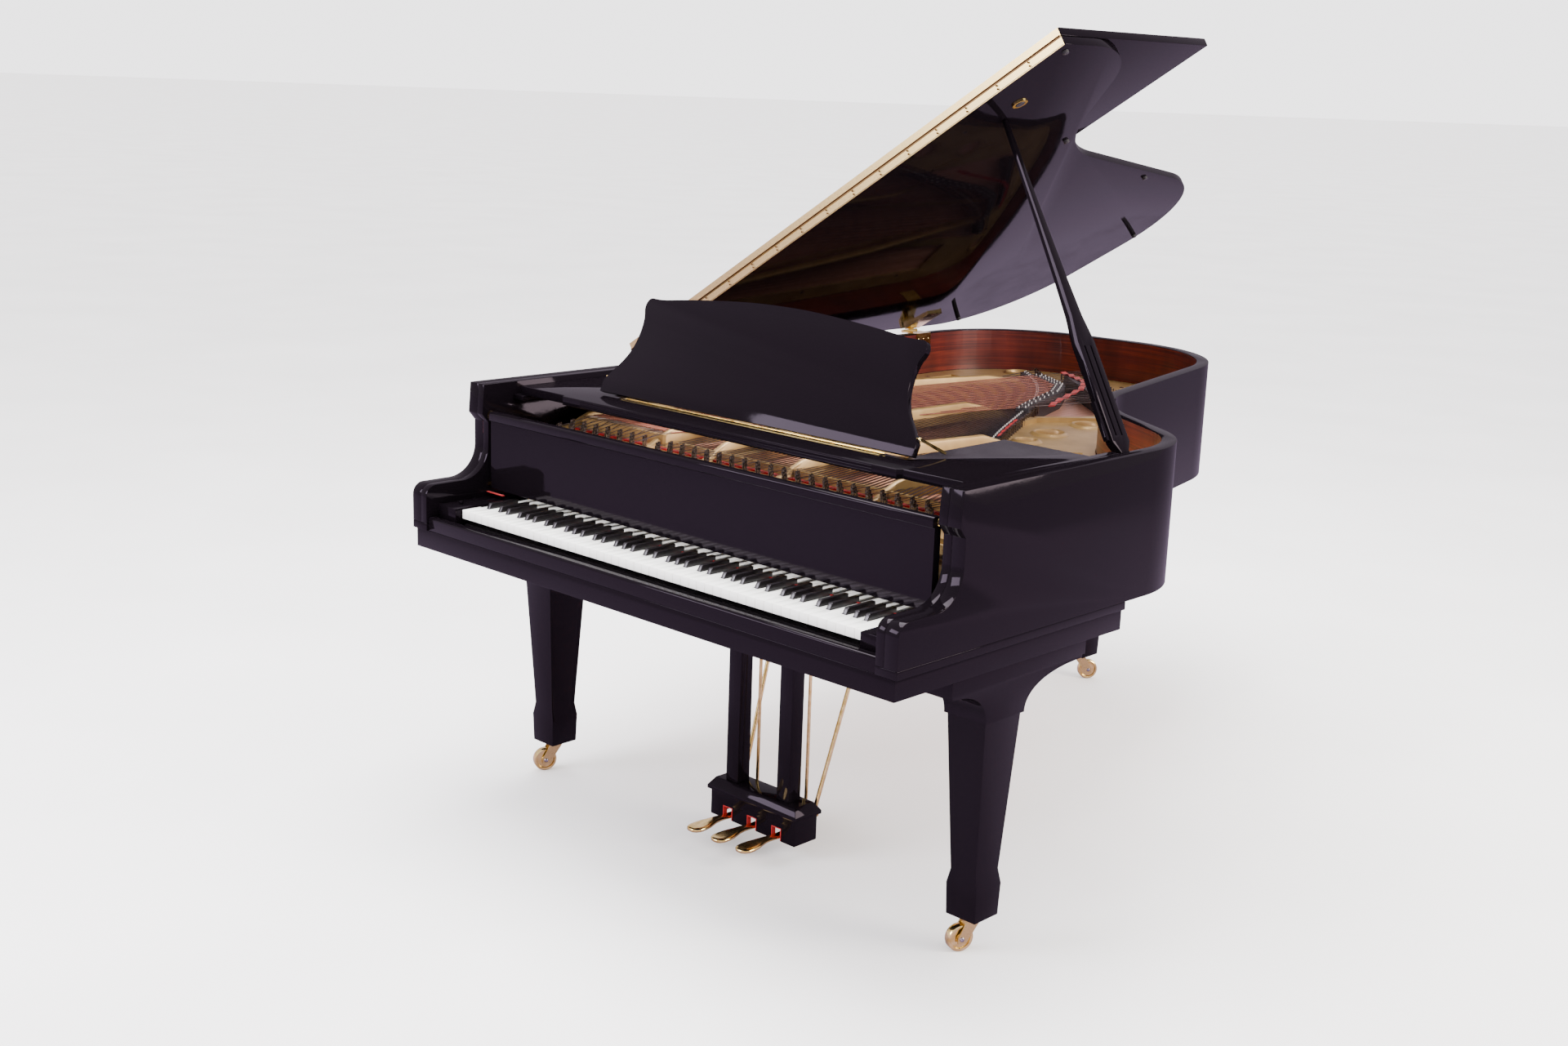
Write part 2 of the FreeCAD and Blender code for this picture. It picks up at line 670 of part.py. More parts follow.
def build_plate():
    """The iron plate: a web over the pin block and round the case, struts, ridges and round holes."""
    low, high = size("plate_bottom"), size("plate_bottom") + size("plate_thick")
    inset = size("rim_wall") + size("plate_inset")
    web_half, front = side_room() - 1, size("block_back") + 12
    frame = inside_face(inset, cheek_back() + 4, low).extrude(Vector(0, 0, high - low))
    frame = frame.fuse(solid_box((-web_half, web_half), (size("block_front") + 4, cheek_back() + 4), (low, high)))
    frame = frame.cut(solid_box((-web_half + 50, web_half - 50), (front, front + 83), (low - 1, high + 1)))
    plain, bass = string_ends()
    frame = frame.cut(string_window(plain, low - 1, high + 1)).cut(string_window(bass, low - 1, high + 1))
    frame = frame.cut(bridge(plain, 60, 17, low - 1, high + 4))
    bay = Part.Face(Part.Wire([line.toShape() for line in polygon(PLATE_BAY)]))
    bay.translate(Vector(0, 0, low - 1))
    frame = frame.cut(bay.extrude(Vector(0, 0, high - low + 2)))
    for x, y, radius in PLATE_HOLES:
        rim = Part.makeCylinder(radius + 8, high - low + 3, Vector(x, y, low))
        frame = frame.fuse(rim).cut(Part.makeCylinder(radius, 40, Vector(x, y, low - 10)))
    added = []
    for ends, under in ((plain, size("string_height") - size("string_radius")),
                        (bass, size("bass_height") - size("bass_radius"))):
        x = sorted((ends[0][0].x, ends[-1][0].x))
        added.append(solid_box((x[0] - 8, x[1] + 8), (front - 10, front), (low, under - STRING_REST)))
    field = inside_face(inset, front - 6, low).extrude(Vector(0, 0, 100))
    top = high + size("strut_height")
    added += [bar.common(field) for bar in struts(20, low, top)]
    for start, end in PLATE_RIDGES:
        added.append(plank(Vector(*start, low), Vector(*end, low), 18, top - low))
    made("iron_plate", max(frame.fuse(added).removeSplitter().Solids, key=lambda solid: solid.Volume))


def build_dampers():
    """A felted head over each string, lifted together by the right pedal."""
    plain, bass = string_ends()
    heads = []
    for ends, height in ((plain[20:66], size("string_height") + size("string_radius")),
                         (bass, size("bass_height") + size("bass_radius"))):
        for start, end in ends:
            middle = start + (end - start).normalize() * 130
            heads.append(solid_box((middle.x - 4.2, middle.x + 4.2), (middle.y - 24, middle.y + 24),
                                   (height + CLEAR, height + CLEAR + 22)))
    made("dampers", Part.makeCompound(heads))


def build_felts():
    """Red felt behind the keys, from arm to arm, and under the strings beside the tuning pins."""
    half, front = side_room(), size("fall_front")
    low = size("key_top") + size("sharp_height") + 1
    behind_keys = solid_box((-half, half), (front - 1, front + 9), (low, low + 1.6))
    plate_top = size("plate_bottom") + size("plate_thick")
    back = size("block_back")
    under_strings = solid_box((-keys_half(), keys_half()), (back - 14, back - 3), (plate_top, plate_top + 5))
    made("red_felts", Part.makeCompound([behind_keys, under_strings]))


# ---------------------------------------------------------------- music desk

def panel_half_outline():
    """Right half of the panel: half width and height up the panel, from the bottom to the top."""
    half, height = size("panel_half"), size("panel_height")
    return [(half, 0), (half, 30), (half - 17, 52), (half - 40, 80), (half - 58, 112), (half - 65, 145),
            (half - 65, 172), (half - 60, 195), (half - 53, 212), (half - 54, 226), (half - 62, height - 27),
            (half - 78, height - 26), (half - 140, height - 22), (half - 272, height - 9), (half - 400, height - 1)]


def build_desk():
    top, low = size("desk_top"), size("desk_top") - size("desk_thick")
    half, inner = side_room() - size("desk_side"), side_room() - size("desk_side") - size("wing_width")
    plan = [(-half, size("desk_front") + 12), (-inner - 70, size("desk_front") + 12),
            (-inner - 62, size("desk_front")), (inner + 62, size("desk_front")),
            (inner + 70, size("desk_front") + 12), (half, size("desk_front") + 12),
            (half, size("wing_back")), (inner, size("wing_back")),
            (inner, size("bar_back")), (-inner, size("bar_back")), (-inner, size("wing_back")),
            (-half, size("wing_back"))]
    keep(pad("desk_base", "XY_Plane", polygon(plan), "desk_top - desk_thick", "desk_thick"), "desk_base")

    axis = Vector(0, size("panel_axis_y"), top + size("desk_pin") + 0.2)
    leaf = solid_box((-size("panel_half") + 80, size("panel_half") - 80), (axis.y - 18, axis.y - 1.2),
                     (top, top + 1.2))
    pin = round_bar(axis - Vector(size("panel_half") - 80, 0, 0), axis + Vector(size("panel_half") - 80, 0, 0),
                    size("desk_pin"))
    made("desk_hinge", leaf.fuse(pin))

    outline = panel_half_outline()
    start = size("desk_pin") + 0.7
    right = [(x, max(up, start)) for x, up in outline]
    points = [Vector(x, up, 0) for x, up in right]
    mirrored = [Vector(-point.x, point.y, 0) for point in reversed(points)]
    edges = [Part.LineSegment(points[0], points[1]).toShape(), Part.LineSegment(mirrored[-2], mirrored[-1]).toShape(),
             Part.LineSegment(mirrored[-1], points[0]).toShape()]
    for side in (points[1:10], list(reversed([Vector(-p.x, p.y, 0) for p in points[1:10]]))):
        spline = Part.BSplineCurve()
        spline.interpolate(side)
        edges.append(spline.toShape())
    crown = Part.BSplineCurve()
    crown.interpolate(points[9:] + [Vector(0, size("panel_height"), 0)] + mirrored[:-9])
    edges.append(crown.toShape())
    face = Part.Face(Part.Wire(Part.sortEdges(edges)[0]))
    panel = face.extrude(Vector(0, 0, size("panel_thick")))
    lean = Rotation(Vector(1, 0, 0), 90 - size("panel_tilt"))

    pivot = Placement(axis, lean).multVec(Vector(0, size("strut_rise"), size("panel_thick") / 2))
    foot = Vector(0, size("strut_foot_y"), top + CLEAR + STRUT_HALF)
    along = (foot - pivot).normalize()
    across = Vector(0, -along.z, along.y) * STRUT_HALF
    struts = []
    for side in (-1, 1):
        near, far = Vector(side * (size("panel_half") - 4), 0, 0), Vector(side * (size("panel_half") + 2), 0, 0)
        inside = Vector(side * (size("panel_half") - 14), 0, 0)
        corners = [pivot + across, pivot - across, foot - across, foot + across]
        wire = Part.makePolygon([corner + near for corner in corners + corners[:1]])
        bar = Part.Face(wire).extrude(far - near)
        struts.append(bar.fuse(round_bar(pivot + far, pivot + inside, 2)).removeSplitter())
        bore = round_bar(pivot + far, pivot + inside - (far - near) / 6, 2 + BORE_PLAY)
        bore.Placement = Placement(axis, lean).inverse().multiply(bore.Placement)
        panel = panel.cut(bore)
    made("music_desk", panel, Placement(axis, lean))
    made("desk_struts", Part.makeCompound(struts))





# ---------------------------------------------------------------- lid

def lid_axis():
    return Vector(-size("rim_width") / 2 - size("hinge_out"), 0, size("rim_top") + size("lid_gap") / 2)


def lid_hinges():
    """Where the middles of the two spine hinges are, along Y."""
    return size("front_hinge_y"), spine_end() - size("rear_hinge_inset")


def lid_place():
    """Where the closed lid goes when it is opened to its angle about the spine."""
    turn = Rotation(Vector(0, -1, 0), size("lid_angle"))
    return Placement(lid_axis() - turn.multVec(lid_axis()), turn)


def fold_place():
    """The front flap folded back onto the lid, then opened with it."""
    axis = Vector(0, size("lid_split"), size("rim_top") + size("lid_gap") + size("lid_thick") + 1)
    turn = Rotation(Vector(1, 0, 0), 180)
    return lid_place().multiply(Placement(axis - turn.multVec(axis), turn))


def build_lid():
    under = "rim_top + lid_gap"
    edge_room = 2
    lid = pad("main_lid", "XY_Plane", closed(rim_pen(-size("lid_over"), size("lid_split") + edge_room)),
              under, "lid_thick")
    lid.Placement = lid_place()
    keep(lid, "main_lid")
    half = size("rim_width") / 2 + size("lid_over")
    flap_plan = polygon([(-half, size("lid_front")), (half, size("lid_front")),
                         (half, size("lid_split") - edge_room), (-half, size("lid_split") - edge_room)])
    flap = pad("front_flap", "XY_Plane", flap_plan, under, "lid_thick")
    flap.Placement = fold_place()
    keep(flap, "front_flap")

    low = size("rim_top") + size("lid_gap")
    high = low + size("lid_thick")
    x = (-half + 2, half - 2)
    knuckle_radius = 1.7
    near, far = size("lid_split") + 0.4, size("lid_split") + edge_room
    leaf = solid_box(x, (near, far), (low, high))
    axis = Vector(0, size("lid_split"), high + 1)
    knuckle = round_bar(axis + Vector(x[0], 0, 0), axis + Vector(x[1], 0, 0), knuckle_radius)
    made("lid_edge_leaf", leaf.fuse(knuckle), lid_place())
    flap_leaf = solid_box(x, (size("lid_split") - edge_room, size("lid_split") - 0.4),
                          (low, high + 1 - knuckle_radius - 0.4))
    made("flap_edge_leaf", flap_leaf, fold_place())


def build_lid_hinges():
    """Two butt hinges on the spine: a leaf under the lid, and one over and down the rim."""
    axis = lid_axis()
    low = size("rim_top") + size("lid_gap")
    rim_leaves, lid_leaves = [], []
    pin, outer = size("hinge_pin"), size("knuckle_radius")
    third = 2 * size("hinge_half") / 3
    inner_wall = -size("rim_width") / 2 + size("rim_wall")
    for middle in lid_hinges():
        start = middle - size("hinge_half")
        whole = round_bar(Vector(axis.x, start, axis.z), Vector(axis.x, start + 3 * third, axis.z), outer)
        core = round_bar(Vector(axis.x, start, axis.z), Vector(axis.x, start + 3 * third, axis.z), pin)
        band = solid_box((-2000, 2000), (start + third - CLEAR, start + 2 * third + CLEAR), (0, 2000))
        strap = solid_box((axis.x, inner_wall + 2), (start, start + 3 * third),
                          (size("rim_top") + 0.1, size("rim_top") + 1.9))
        drop = solid_box((inner_wall + 0.2, inner_wall + 2), (start, start + 3 * third),
                         (size("rim_top") - 46, size("rim_top") + 1.9))
        slot = round_bar(Vector(axis.x, start, axis.z), Vector(axis.x, start + 3 * third, axis.z), outer + CLEAR)
        rim_leaf = whole.fuse([strap, drop]).cut(slot.common(band)).fuse(core)
        rim_leaves.append(rim_leaf.removeSplitter())
        middle_third = solid_box((-2000, 2000), (start + third, start + 2 * third), (0, 2000))
        barrel = whole.common(middle_third).cut(round_bar(Vector(axis.x, start, axis.z),
                                                          Vector(axis.x, start + 3 * third, axis.z),
                                                          pin + BORE_PLAY))
        neck = solid_box((axis.x + pin + 1, axis.x + 12), (start + third, start + 2 * third),
                         (low - 1.8, low))
        leaf = solid_box((axis.x + 12, axis.x + 112), (start, start + 3 * third), (low - 1.8, low))
        lid_leaves.append(barrel.fuse([neck, leaf]).removeSplitter())
    made("rim_hinge_leaves", Part.makeCompound(rim_leaves))
    ways = (("back", 1180, 746), ("front", 1270, 745))
    cups = []
    for _name, reach, y in ways:
        centre = Vector(axis.x + reach + 12, y, low)
        ring_body = Part.makeCylinder(17, 5, centre - Vector(0, 0, 5))
        cups.append(ring_body.cut(Part.makeCylinder(11, 6, centre - Vector(0, 0, 6))))
    return lid_leaves, cups


def build_lid_brasses(lid_leaves, cups):
    made("lid_brasses", Part.makeCompound(lid_leaves + cups[1:]), lid_place())
    low = size("rim_top") + size("lid_gap")
    middle = rim_pen(size("rim_wall") / 2, size("lid_split") + 30)
    path = Part.Wire([stroke.toShape() for stroke in middle.strokes])
    bumpers = []
    for point in path.discretize(Number=7)[:6]:
        bumpers.append(Part.makeCylinder(7, 5, Vector(point.x, point.y, low - 5)))
    made("lid_bumpers", Part.makeCompound(bumpers), lid_place())


# ---------------------------------------------------------------- lid prop

def prop_base():
    inner = size("rim_width") / 2 - size("rim_wall")
    return Vector(inner - size("prop_in"), size("side_straight") - size("prop_inset"), size("prop_height"))


def prop_reach():
    """Length from the prop's pivot to the lid, square to the lid."""
    under = lid_place().multVec(Vector(0, 0, size("rim_top") + size("lid_gap")))
    normal = lid_place().Rotation.multVec(Vector(0, 0, 1))
    return (under - prop_base()).dot(normal)


def prop_way():
    """Unit vector up the prop, which leans a little to the tail, and its share of the lid's normal."""
    normal = lid_place().Rotation.multVec(Vector(0, 0, 1))
    way = (normal * prop_reach() + Vector(0, size("prop_lean"), 0)).normalize()
    return way, way.dot(normal)


def prop_axis():
    """The slanted pin that lets the prop swing from the lid down into the case."""
    up = prop_way()[0]
    heading = math.radians(size("prop_rest_heading"))
    away = Vector(math.cos(heading), math.sin(heading), 0)
    return up.cross(away).normalize(), up


def build_prop():
    axis, up = prop_axis()
    base = prop_base()
    tip_gap = 1
    reach = prop_reach() / prop_way()[1] - CLEAR - tip_gap
    wide, thick = size("prop_half"), size("prop_thick")
    right = [(8, 16), (wide, 46), (wide, 272), (wide * 0.62, 330), (wide * 0.45, 420), (wide * 0.32, 540),
             (wide * 0.22, 680), (wide * 0.2, reach - 6), (wide * 0.12, reach)]
    outline = right + [(-x, along) for x, along in reversed(right)]
    across = (Vector(0, 1, 0) - up * up.y).normalize()
    normal = across.cross(up)
    frame = FreeCAD.Matrix(across.x, up.x, normal.x, base.x, across.y, up.y, normal.y, base.y,
                           across.z, up.z, normal.z, base.z, 0, 0, 0, 1)
    face = Part.Face(Part.makePolygon([Vector(x, along, -thick / 2) for x, along in outline + outline[:1]]))
    stick = face.extrude(Vector(0, 0, thick))
    taper = Part.Face(Part.makePolygon([Vector(-40, 300, thick / 2 + 1), Vector(-40, 300, thick / 2),
                                        Vector(-40, reach + 1, 4), Vector(-40, reach + 1, thick / 2 + 1),
                                        Vector(-40, 300, thick / 2 + 1)])).extrude(Vector(80, 0, 0))
    stick = stick.cut(taper).cut(taper.mirror(Vector(), Vector(0, 0, 1)))
    for groove in (-10, 10):
        stick = stick.cut(solid_box((groove - 2.5, groove + 2.5), (60, 262), (thick / 2 - 5, thick / 2 + 1)))
    neck = solid_box((-7, 7), (0, 20), (-5, 5))
    stick = stick.fuse(neck)
    stick.transformShape(frame)
    pin = size("prop_pin")
    knuckle = Part.makeCylinder(9, 18, base - axis * 9, axis)
    bore = Part.makeCylinder(pin + BORE_PLAY, 40, base - axis * 20, axis)
    stick = stick.fuse(knuckle).cut(bore).removeSplitter()
    made("long_prop", stick)

    wall = size("rim_width") / 2 - size("rim_wall")
    pin_body = Part.makeCylinder(pin, 30, base - axis * 15, axis)
    down = axis.cross(Vector(0, 1, 0)).normalize()
    if down.x < 0:
        down = down.negative()
    ears = []
    for start in (-9 - CLEAR - 5, 9 + CLEAR):
        seat = base + axis * start
        side = axis.cross(down).normalize()
        corners = [seat + side * 8 - down * 8, seat - side * 8 - down * 8, seat - side * 8 + down * 60,
                   seat + side * 8 + down * 60]
        ear = Part.Face(Part.makePolygon(corners + corners[:1])).extrude(axis * 5)
        ears.append(ear)
    plate = solid_box((wall - 4, wall), (base.y - 38, base.y + 38),
                      (size("prop_height") - 45, size("rim_top") - 4))
    room = solid_box((0, wall), (0, 2000), (size("prop_height") - 60, size("rim_top") - 2))
    bracket = plate.fuse(ears + [pin_body]).common(room).removeSplitter()
    made("prop_bracket", sorted(bracket.Solids, key=lambda solid: solid.Volume)[-1])

    half = 5
    start, end = 52, 138
    short = solid_box((-wide - 2 * half - 1, -wide - 1), (start, end), (-half, half))
    short.transformShape(frame)
    hinge_at = base + up * (start + 8) - across * (wide + 12)
    hinge = round_bar(hinge_at, hinge_at + across * 16, 2.5)
    short_with_pin = short.fuse(hinge).removeSplitter()
    made("short_prop", short_with_pin)
    seat = round_bar(hinge_at - across * 2, hinge_at + across * 18, 2.5 + BORE_PLAY)
    NODE["long_prop"].Shape = NODE["long_prop"].Shape.cut(seat)


# ---------------------------------------------------------------- legs and casters

def square_loft(centre, stations):
    """A leg shaft through rectangles, given as (width, depth, height)."""
    wires = []
    for width, depth, height in stations:
        corners = [Vector(centre.x + a * width / 2, centre.y + b * depth / 2, height)
                   for a, b in ((-1, -1), (1, -1), (1, 1), (-1, 1))]
        wires.append(Part.makePolygon(corners + corners[:1]))
    return Part.makeLoft(wires, True, True)


def leg(label, x, y, top, front, back):
    """Foot block, waist and shaft, and a long head plate with a cove on each side of the shaft."""
    centre = Vector(x, y, 0)
    foot, low, foot_top = size("leg_foot"), size("leg_floor"), size("leg_foot_top")
    waist_x, waist_y = size("leg_waist_x"), size("leg_waist_y")
    head, head_half = top - size("head_drop"), size("leg_head_y") / 2
    shaft = square_loft(centre, [(foot - 4, foot - 4, low), (foot, foot, foot_top)])
    shaft = shaft.fuse(square_loft(centre, [(foot, foot, foot_top), (waist_x, waist_y, foot_top + 30)]))
    shaft = shaft.fuse(square_loft(centre, [(waist_x, waist_y, foot_top + 30),
                                            (size("leg_head_x"), size("leg_head_y"), head)]))
    plate = top - size("head_plate")
    coves = []
    for side, reach in ((-1, front), (1, back)):
        tip, root = y + side * reach, y + side * head_half
        bend = Part.BezierCurve()
        foot = root + side * 5
        bend.setPoles([Vector(x, tip, plate), Vector(x, mix(tip, foot, 0.6), plate),
                       Vector(x, foot, mix(plate, head, 0.35)), Vector(x, foot, head)])
        coves.append(bend.toShape())
    ends = [Vector(x, y + side * reach, height) for height, side, reach in (
        (plate, -1, front), (top, -1, front), (top, 1, back), (plate, 1, back))]
    edges = coves + [Part.makeLine(a, b) for a, b in zip(ends, ends[1:])]
    edges.append(Part.makeLine(Vector(x, y - head_half - 5, head), Vector(x, y + head_half + 5, head)))
    half = size("leg_head_x") / 2 + 5
    board = Part.Face(Part.Wire(Part.sortEdges(edges)[0]))
    board.translate(Vector(-half, 0, 0))
    board = board.extrude(Vector(2 * half, 0, 0))
    cap = solid_box((x - half - 3, x + half + 3), (y - front - 5, y + back + 5), (plate + 8, top))
    bore = Part.makeCylinder(size("stem_radius") + BORE_PLAY, 42, Vector(x, y, low - 1))
    made(label, shaft.fuse([board, cap]).removeSplitter().cut(bore))


def build_legs():
    for label, x, y, _heading in CASTERS:
        if label == "rear":
            leg(f"{label}_leg", x, y, size("inner_rim_bottom"), 150, 150)
        else:
            leg(f"{label}_leg", x, y, size("keybed_bottom"), 170, 248)


def build_caster(label, x, y, heading):
    """A twin-ear fork on a stem, and the wheel that trails behind it."""
    radius, half = size("wheel_radius"), size("wheel_width") / 2
    top = size("leg_floor") - 0.5
    centre = Vector(size("caster_trail"), 0, radius)
    crown = Part.makeCylinder(22, 6, Vector(0, 0, top - 6))
    stem = Part.makeCylinder(size("stem_radius"), 38, Vector(0, 0, top))
    ears = []
    for side in (-1, 1):
        inner = side * (half + 1.5)
        profile = [(-16, top - 6), (14, top - 6), (centre.x + 9, radius + 4), (centre.x + 9, radius - 9),
                   (centre.x - 9, radius - 9)]
        wire = Part.makePolygon([Vector(a, inner, b) for a, b in profile + profile[:1]])
        ears.append(Part.Face(wire).extrude(Vector(0, side * 3, 0)))
    bridge = solid_box((-16, 14), (-half - 1.5, half + 1.5), (top - 9, top - 6))
    axle = Part.makeCylinder(size("axle_radius"), 2 * half + 9, centre - Vector(0, half + 4.5, 0), Vector(0, 1, 0))
    clearance = Part.makeCylinder(radius + 1.5, 2 * half + 2, centre - Vector(0, half + 1, 0), Vector(0, 1, 0))
    fork = crown.fuse(ears + [stem, bridge]).cut(clearance).fuse(axle).removeSplitter()
    wheel = Part.makeCylinder(radius, 2 * half, centre - Vector(0, half, 0), Vector(0, 1, 0))
    wheel = wheel.makeFillet(3, wheel.Edges[:1] + wheel.Edges[2:])
    wheel = wheel.cut(Part.makeCylinder(size("axle_radius") + BORE_PLAY, 60, centre - Vector(0, 30, 0),
                                        Vector(0, 1, 0)))
    place = Placement(Vector(x, y, 0), Rotation(Vector(0, 0, 1), heading))
    made(f"{label}_caster_fork", fork, place)
    made(f"{label}_caster_wheel", wheel, place)


# ---------------------------------------------------------------- lyre and pedals

def build_lyre():
    y = size("lyre_y")
    half = size("post_size") / 2
    top = size("keybed_bottom")
    solids = [solid_box((-size("box_half") - 6, size("box_half") + 6), (y - 50, y + 50), (top - 24, top))]
    for side in (-1, 1):
        x = side * size("post_half")
        solids.append(solid_box((x - half, x + half), (y - half, y + half), (size("crown_top"), top - 24)))
    made("lyre_frame", Part.makeCompound(solids))

    wide, front, back = size("box_half"), size("box_front"), size("box_back")
    low, high, wall = size("box_bottom"), size("box_top"), size("box_wall")
    shell = solid_box((-wide, wide), (front, back), (low, high))
    shell = shell.cut(solid_box((-wide + wall, wide - wall), (front + wall, back - wall), (low - 1, high - wall)))
    slot = size("pedal_height") + size("pedal_thick")
    for index in (-1, 0, 1):
        x = index * size("pedal_pitch")
        shell = shell.cut(solid_box((x - 14, x + 14), (front - 1, back + 1), (low - 1, slot + 12)))
    over = 7
    crown = square_loft(Vector(0, (front + back) / 2, 0),
                        [(2 * wide + 2 * over, back - front + 2 * over, high),
                         (2 * wide + 2 * over, back - front + 2 * over, high + 8)])
    cap = square_loft(Vector(0, (front + back) / 2, 0),
                      [(2 * wide + 2 * over, back - front + 2 * over, high + 8),
                       (2 * wide - 14, back - front - 14, size("crown_top"))])
    axle_z = size("pedal_height")
    axle = round_bar(Vector(-wide + wall, size("pedal_axle_y"), axle_z),
                     Vector(wide - wall, size("pedal_axle_y"), axle_z), 4)
    made("lyre_box", Part.makeCompound([shell.fuse(crown).fuse(cap).removeSplitter(), axle]))

    braces = []
    for side in (-1, 1):
        foot = Vector(side * (wide - 20), back + over + 4, high - 6)
        head = Vector(side * (wide + 6), size("keybed_front") + size("keybed_depth") - 80, top - 4)
        bar = round_bar(foot, head, 5)
        lug = solid_box((foot.x - 7, foot.x + 7), (back, foot.y + 8), (high - 16, high))
        pad_top = solid_box((head.x - 16, head.x + 16), (head.y - 20, head.y + 20), (top - 5, top))
        braces.append(bar.fuse([lug, pad_top]).removeSplitter())
    made("lyre_braces", Part.makeCompound(braces))


def build_pedals():
    thick = size("pedal_thick")
    low = size("pedal_height") - thick / 2
    toe, front = size("pedal_toe"), size("box_front")
    for index, label in ((-1, "soft"), (0, "sostenuto"), (1, "damper")):
        x = index * size("pedal_pitch")
        pen = Pen(x + 22, toe + 22, 90)
        pen.line(22)
        pen.line_to(x + 10, front - 24)
        pen.line_to(x + 10, size("pedal_rod_y") + 8)
        pen.line_to(x - 10, size("pedal_rod_y") + 8)
        pen.line_to(x - 10, front - 24)
        pen.line_to(x - 22, toe + 44)
        pen.line_to(x - 22, toe + 22)
        strokes = pen.strokes + [Part.Arc(Vector(x - 22, toe + 22, 0), Vector(x, toe, 0), Vector(x + 22, toe + 22, 0))]
        face = Part.Face(Part.Wire([stroke.toShape() for stroke in strokes]))
        face.translate(Vector(0, 0, low))
        lever = face.extrude(Vector(0, 0, thick))
        boss = Part.makeCylinder(8, 20, Vector(x - 10, size("pedal_axle_y"), size("pedal_height")), Vector(1, 0, 0))
        bore = Part.makeCylinder(4 + BORE_PLAY, 60, Vector(x - 30, size("pedal_axle_y"), size("pedal_height")),
                                 Vector(1, 0, 0))
        made(f"{label}_pedal", lever.fuse(boss).cut(bore).removeSplitter())
        foot = Vector(x, size("pedal_rod_y"), low + thick + CLEAR)
        head = Vector(x, size("pedal_rod_y"), size("keybed_bottom") - 8)
        rod_solid = round_bar(foot, head, size("rod_radius"))
        made(f"{label}_pedal_rod", rod_solid)


# ---------------------------------------------------------------- the whole piano

build_rim()
build_cheeks()
build_keybed()
build_key_blocks()
build_beams()
build_keys()
build_key_frame()
build_action_rails()
build_fallboard()
build_strings()
build_pins()
build_pin_block()
build_soundboard()
build_bridges()
build_plate()
build_dampers()
build_felts()
build_desk()
build_lid()
build_lid_brasses(*build_lid_hinges())
build_prop()
CASTERS = (
    ("left", size("leg_inset") - size("rim_width") / 2, size("leg_y"), 247),
    ("right", size("rim_width") / 2 - size("leg_inset"), size("leg_y"), 247),
    ("rear", size("tail_leg_side") - size("rim_width") / 2, tail_y() - size("tail_leg_inset"), 50),
)
build_legs()
for caster in CASTERS:
    build_caster(*caster)
build_lyre()
build_pedals()
doc.recompute()

for thing in doc.Objects:
    if "Invalid" in thing.State or "Error" in thing.State:
        raise RuntimeError(f"{thing.Label} did not compute: {thing.State}")
os.makedirs("parts", exist_ok=True)
for label, node in NODE.items():
    if node.Shape.isNull() or not node.Shape.isValid() or not node.Shape.Solids:
        raise RuntimeError(f"{label} is not a valid solid")
for label, node in NODE.items():
    node.Shape.exportStep(f"parts/{label}.step")
print(len(NODE), "sub-parts written")
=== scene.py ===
# %% [markdown]
# # A grand piano in black polyester
# The measured piano is loaded as a fixed frame of named solids. This lesson
# gives every solid its finish, and adds the small hardware that a packed
# model leaves out: wire coils, hitch pins, felt strips, screws and hubs.

# %% Load the frame
import json
import math

import bmesh
import bpy
from mathutils import Matrix, Vector

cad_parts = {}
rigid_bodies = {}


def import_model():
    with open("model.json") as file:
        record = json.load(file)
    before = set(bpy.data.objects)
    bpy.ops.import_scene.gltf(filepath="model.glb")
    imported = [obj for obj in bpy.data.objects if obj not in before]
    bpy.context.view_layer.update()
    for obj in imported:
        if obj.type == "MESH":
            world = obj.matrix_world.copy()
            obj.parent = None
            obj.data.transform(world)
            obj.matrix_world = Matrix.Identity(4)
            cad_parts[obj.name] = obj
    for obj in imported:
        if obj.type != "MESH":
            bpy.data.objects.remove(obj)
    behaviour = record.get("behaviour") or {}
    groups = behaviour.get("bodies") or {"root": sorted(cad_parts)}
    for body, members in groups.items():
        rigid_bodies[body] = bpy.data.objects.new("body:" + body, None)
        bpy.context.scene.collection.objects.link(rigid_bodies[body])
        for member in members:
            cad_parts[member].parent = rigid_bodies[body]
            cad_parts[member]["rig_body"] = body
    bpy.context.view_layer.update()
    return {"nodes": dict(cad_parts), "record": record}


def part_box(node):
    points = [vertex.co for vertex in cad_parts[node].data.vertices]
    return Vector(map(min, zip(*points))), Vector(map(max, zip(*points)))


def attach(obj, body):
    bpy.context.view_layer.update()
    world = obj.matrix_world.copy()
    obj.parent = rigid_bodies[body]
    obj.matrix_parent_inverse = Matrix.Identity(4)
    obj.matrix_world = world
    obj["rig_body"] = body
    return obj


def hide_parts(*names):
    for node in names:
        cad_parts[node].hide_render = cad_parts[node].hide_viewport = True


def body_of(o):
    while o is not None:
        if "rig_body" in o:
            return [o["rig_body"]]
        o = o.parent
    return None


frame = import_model()
NODES = frame["nodes"]
MM = 0.001


def corners(node):
    """Lowest and highest corner of a node, as vectors in metres."""
    low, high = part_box(node)
    return Vector(low), Vector(high)


print("frame:", len(NODES), "nodes")

# %% [markdown]
# ## Colour and nodes
# Paint makers quote colours as hex numbers, which are meant for a screen.
# Light is added up in linear numbers, so one function converts. The others
# add a node, set its plain inputs and join its linked ones, so a whole
# material stays readable.

# %% Helpers for materials
def linear(hex_colour):
    """Hex screen colour to linear RGBA."""
    parts = [int(hex_colour[i:i + 2], 16) / 255 for i in (1, 3, 5)]
    return (*[p / 12.92 if p <= 0.04045 else ((p + 0.055) / 1.055) ** 2.4 for p in parts], 1.0)


def plug(socket, value):
    """Give a socket a plain value, or a link from another node's output."""
    if isinstance(value, bpy.types.NodeSocket):
        socket.id_data.links.new(value, socket)
    else:
        socket.default_value = value


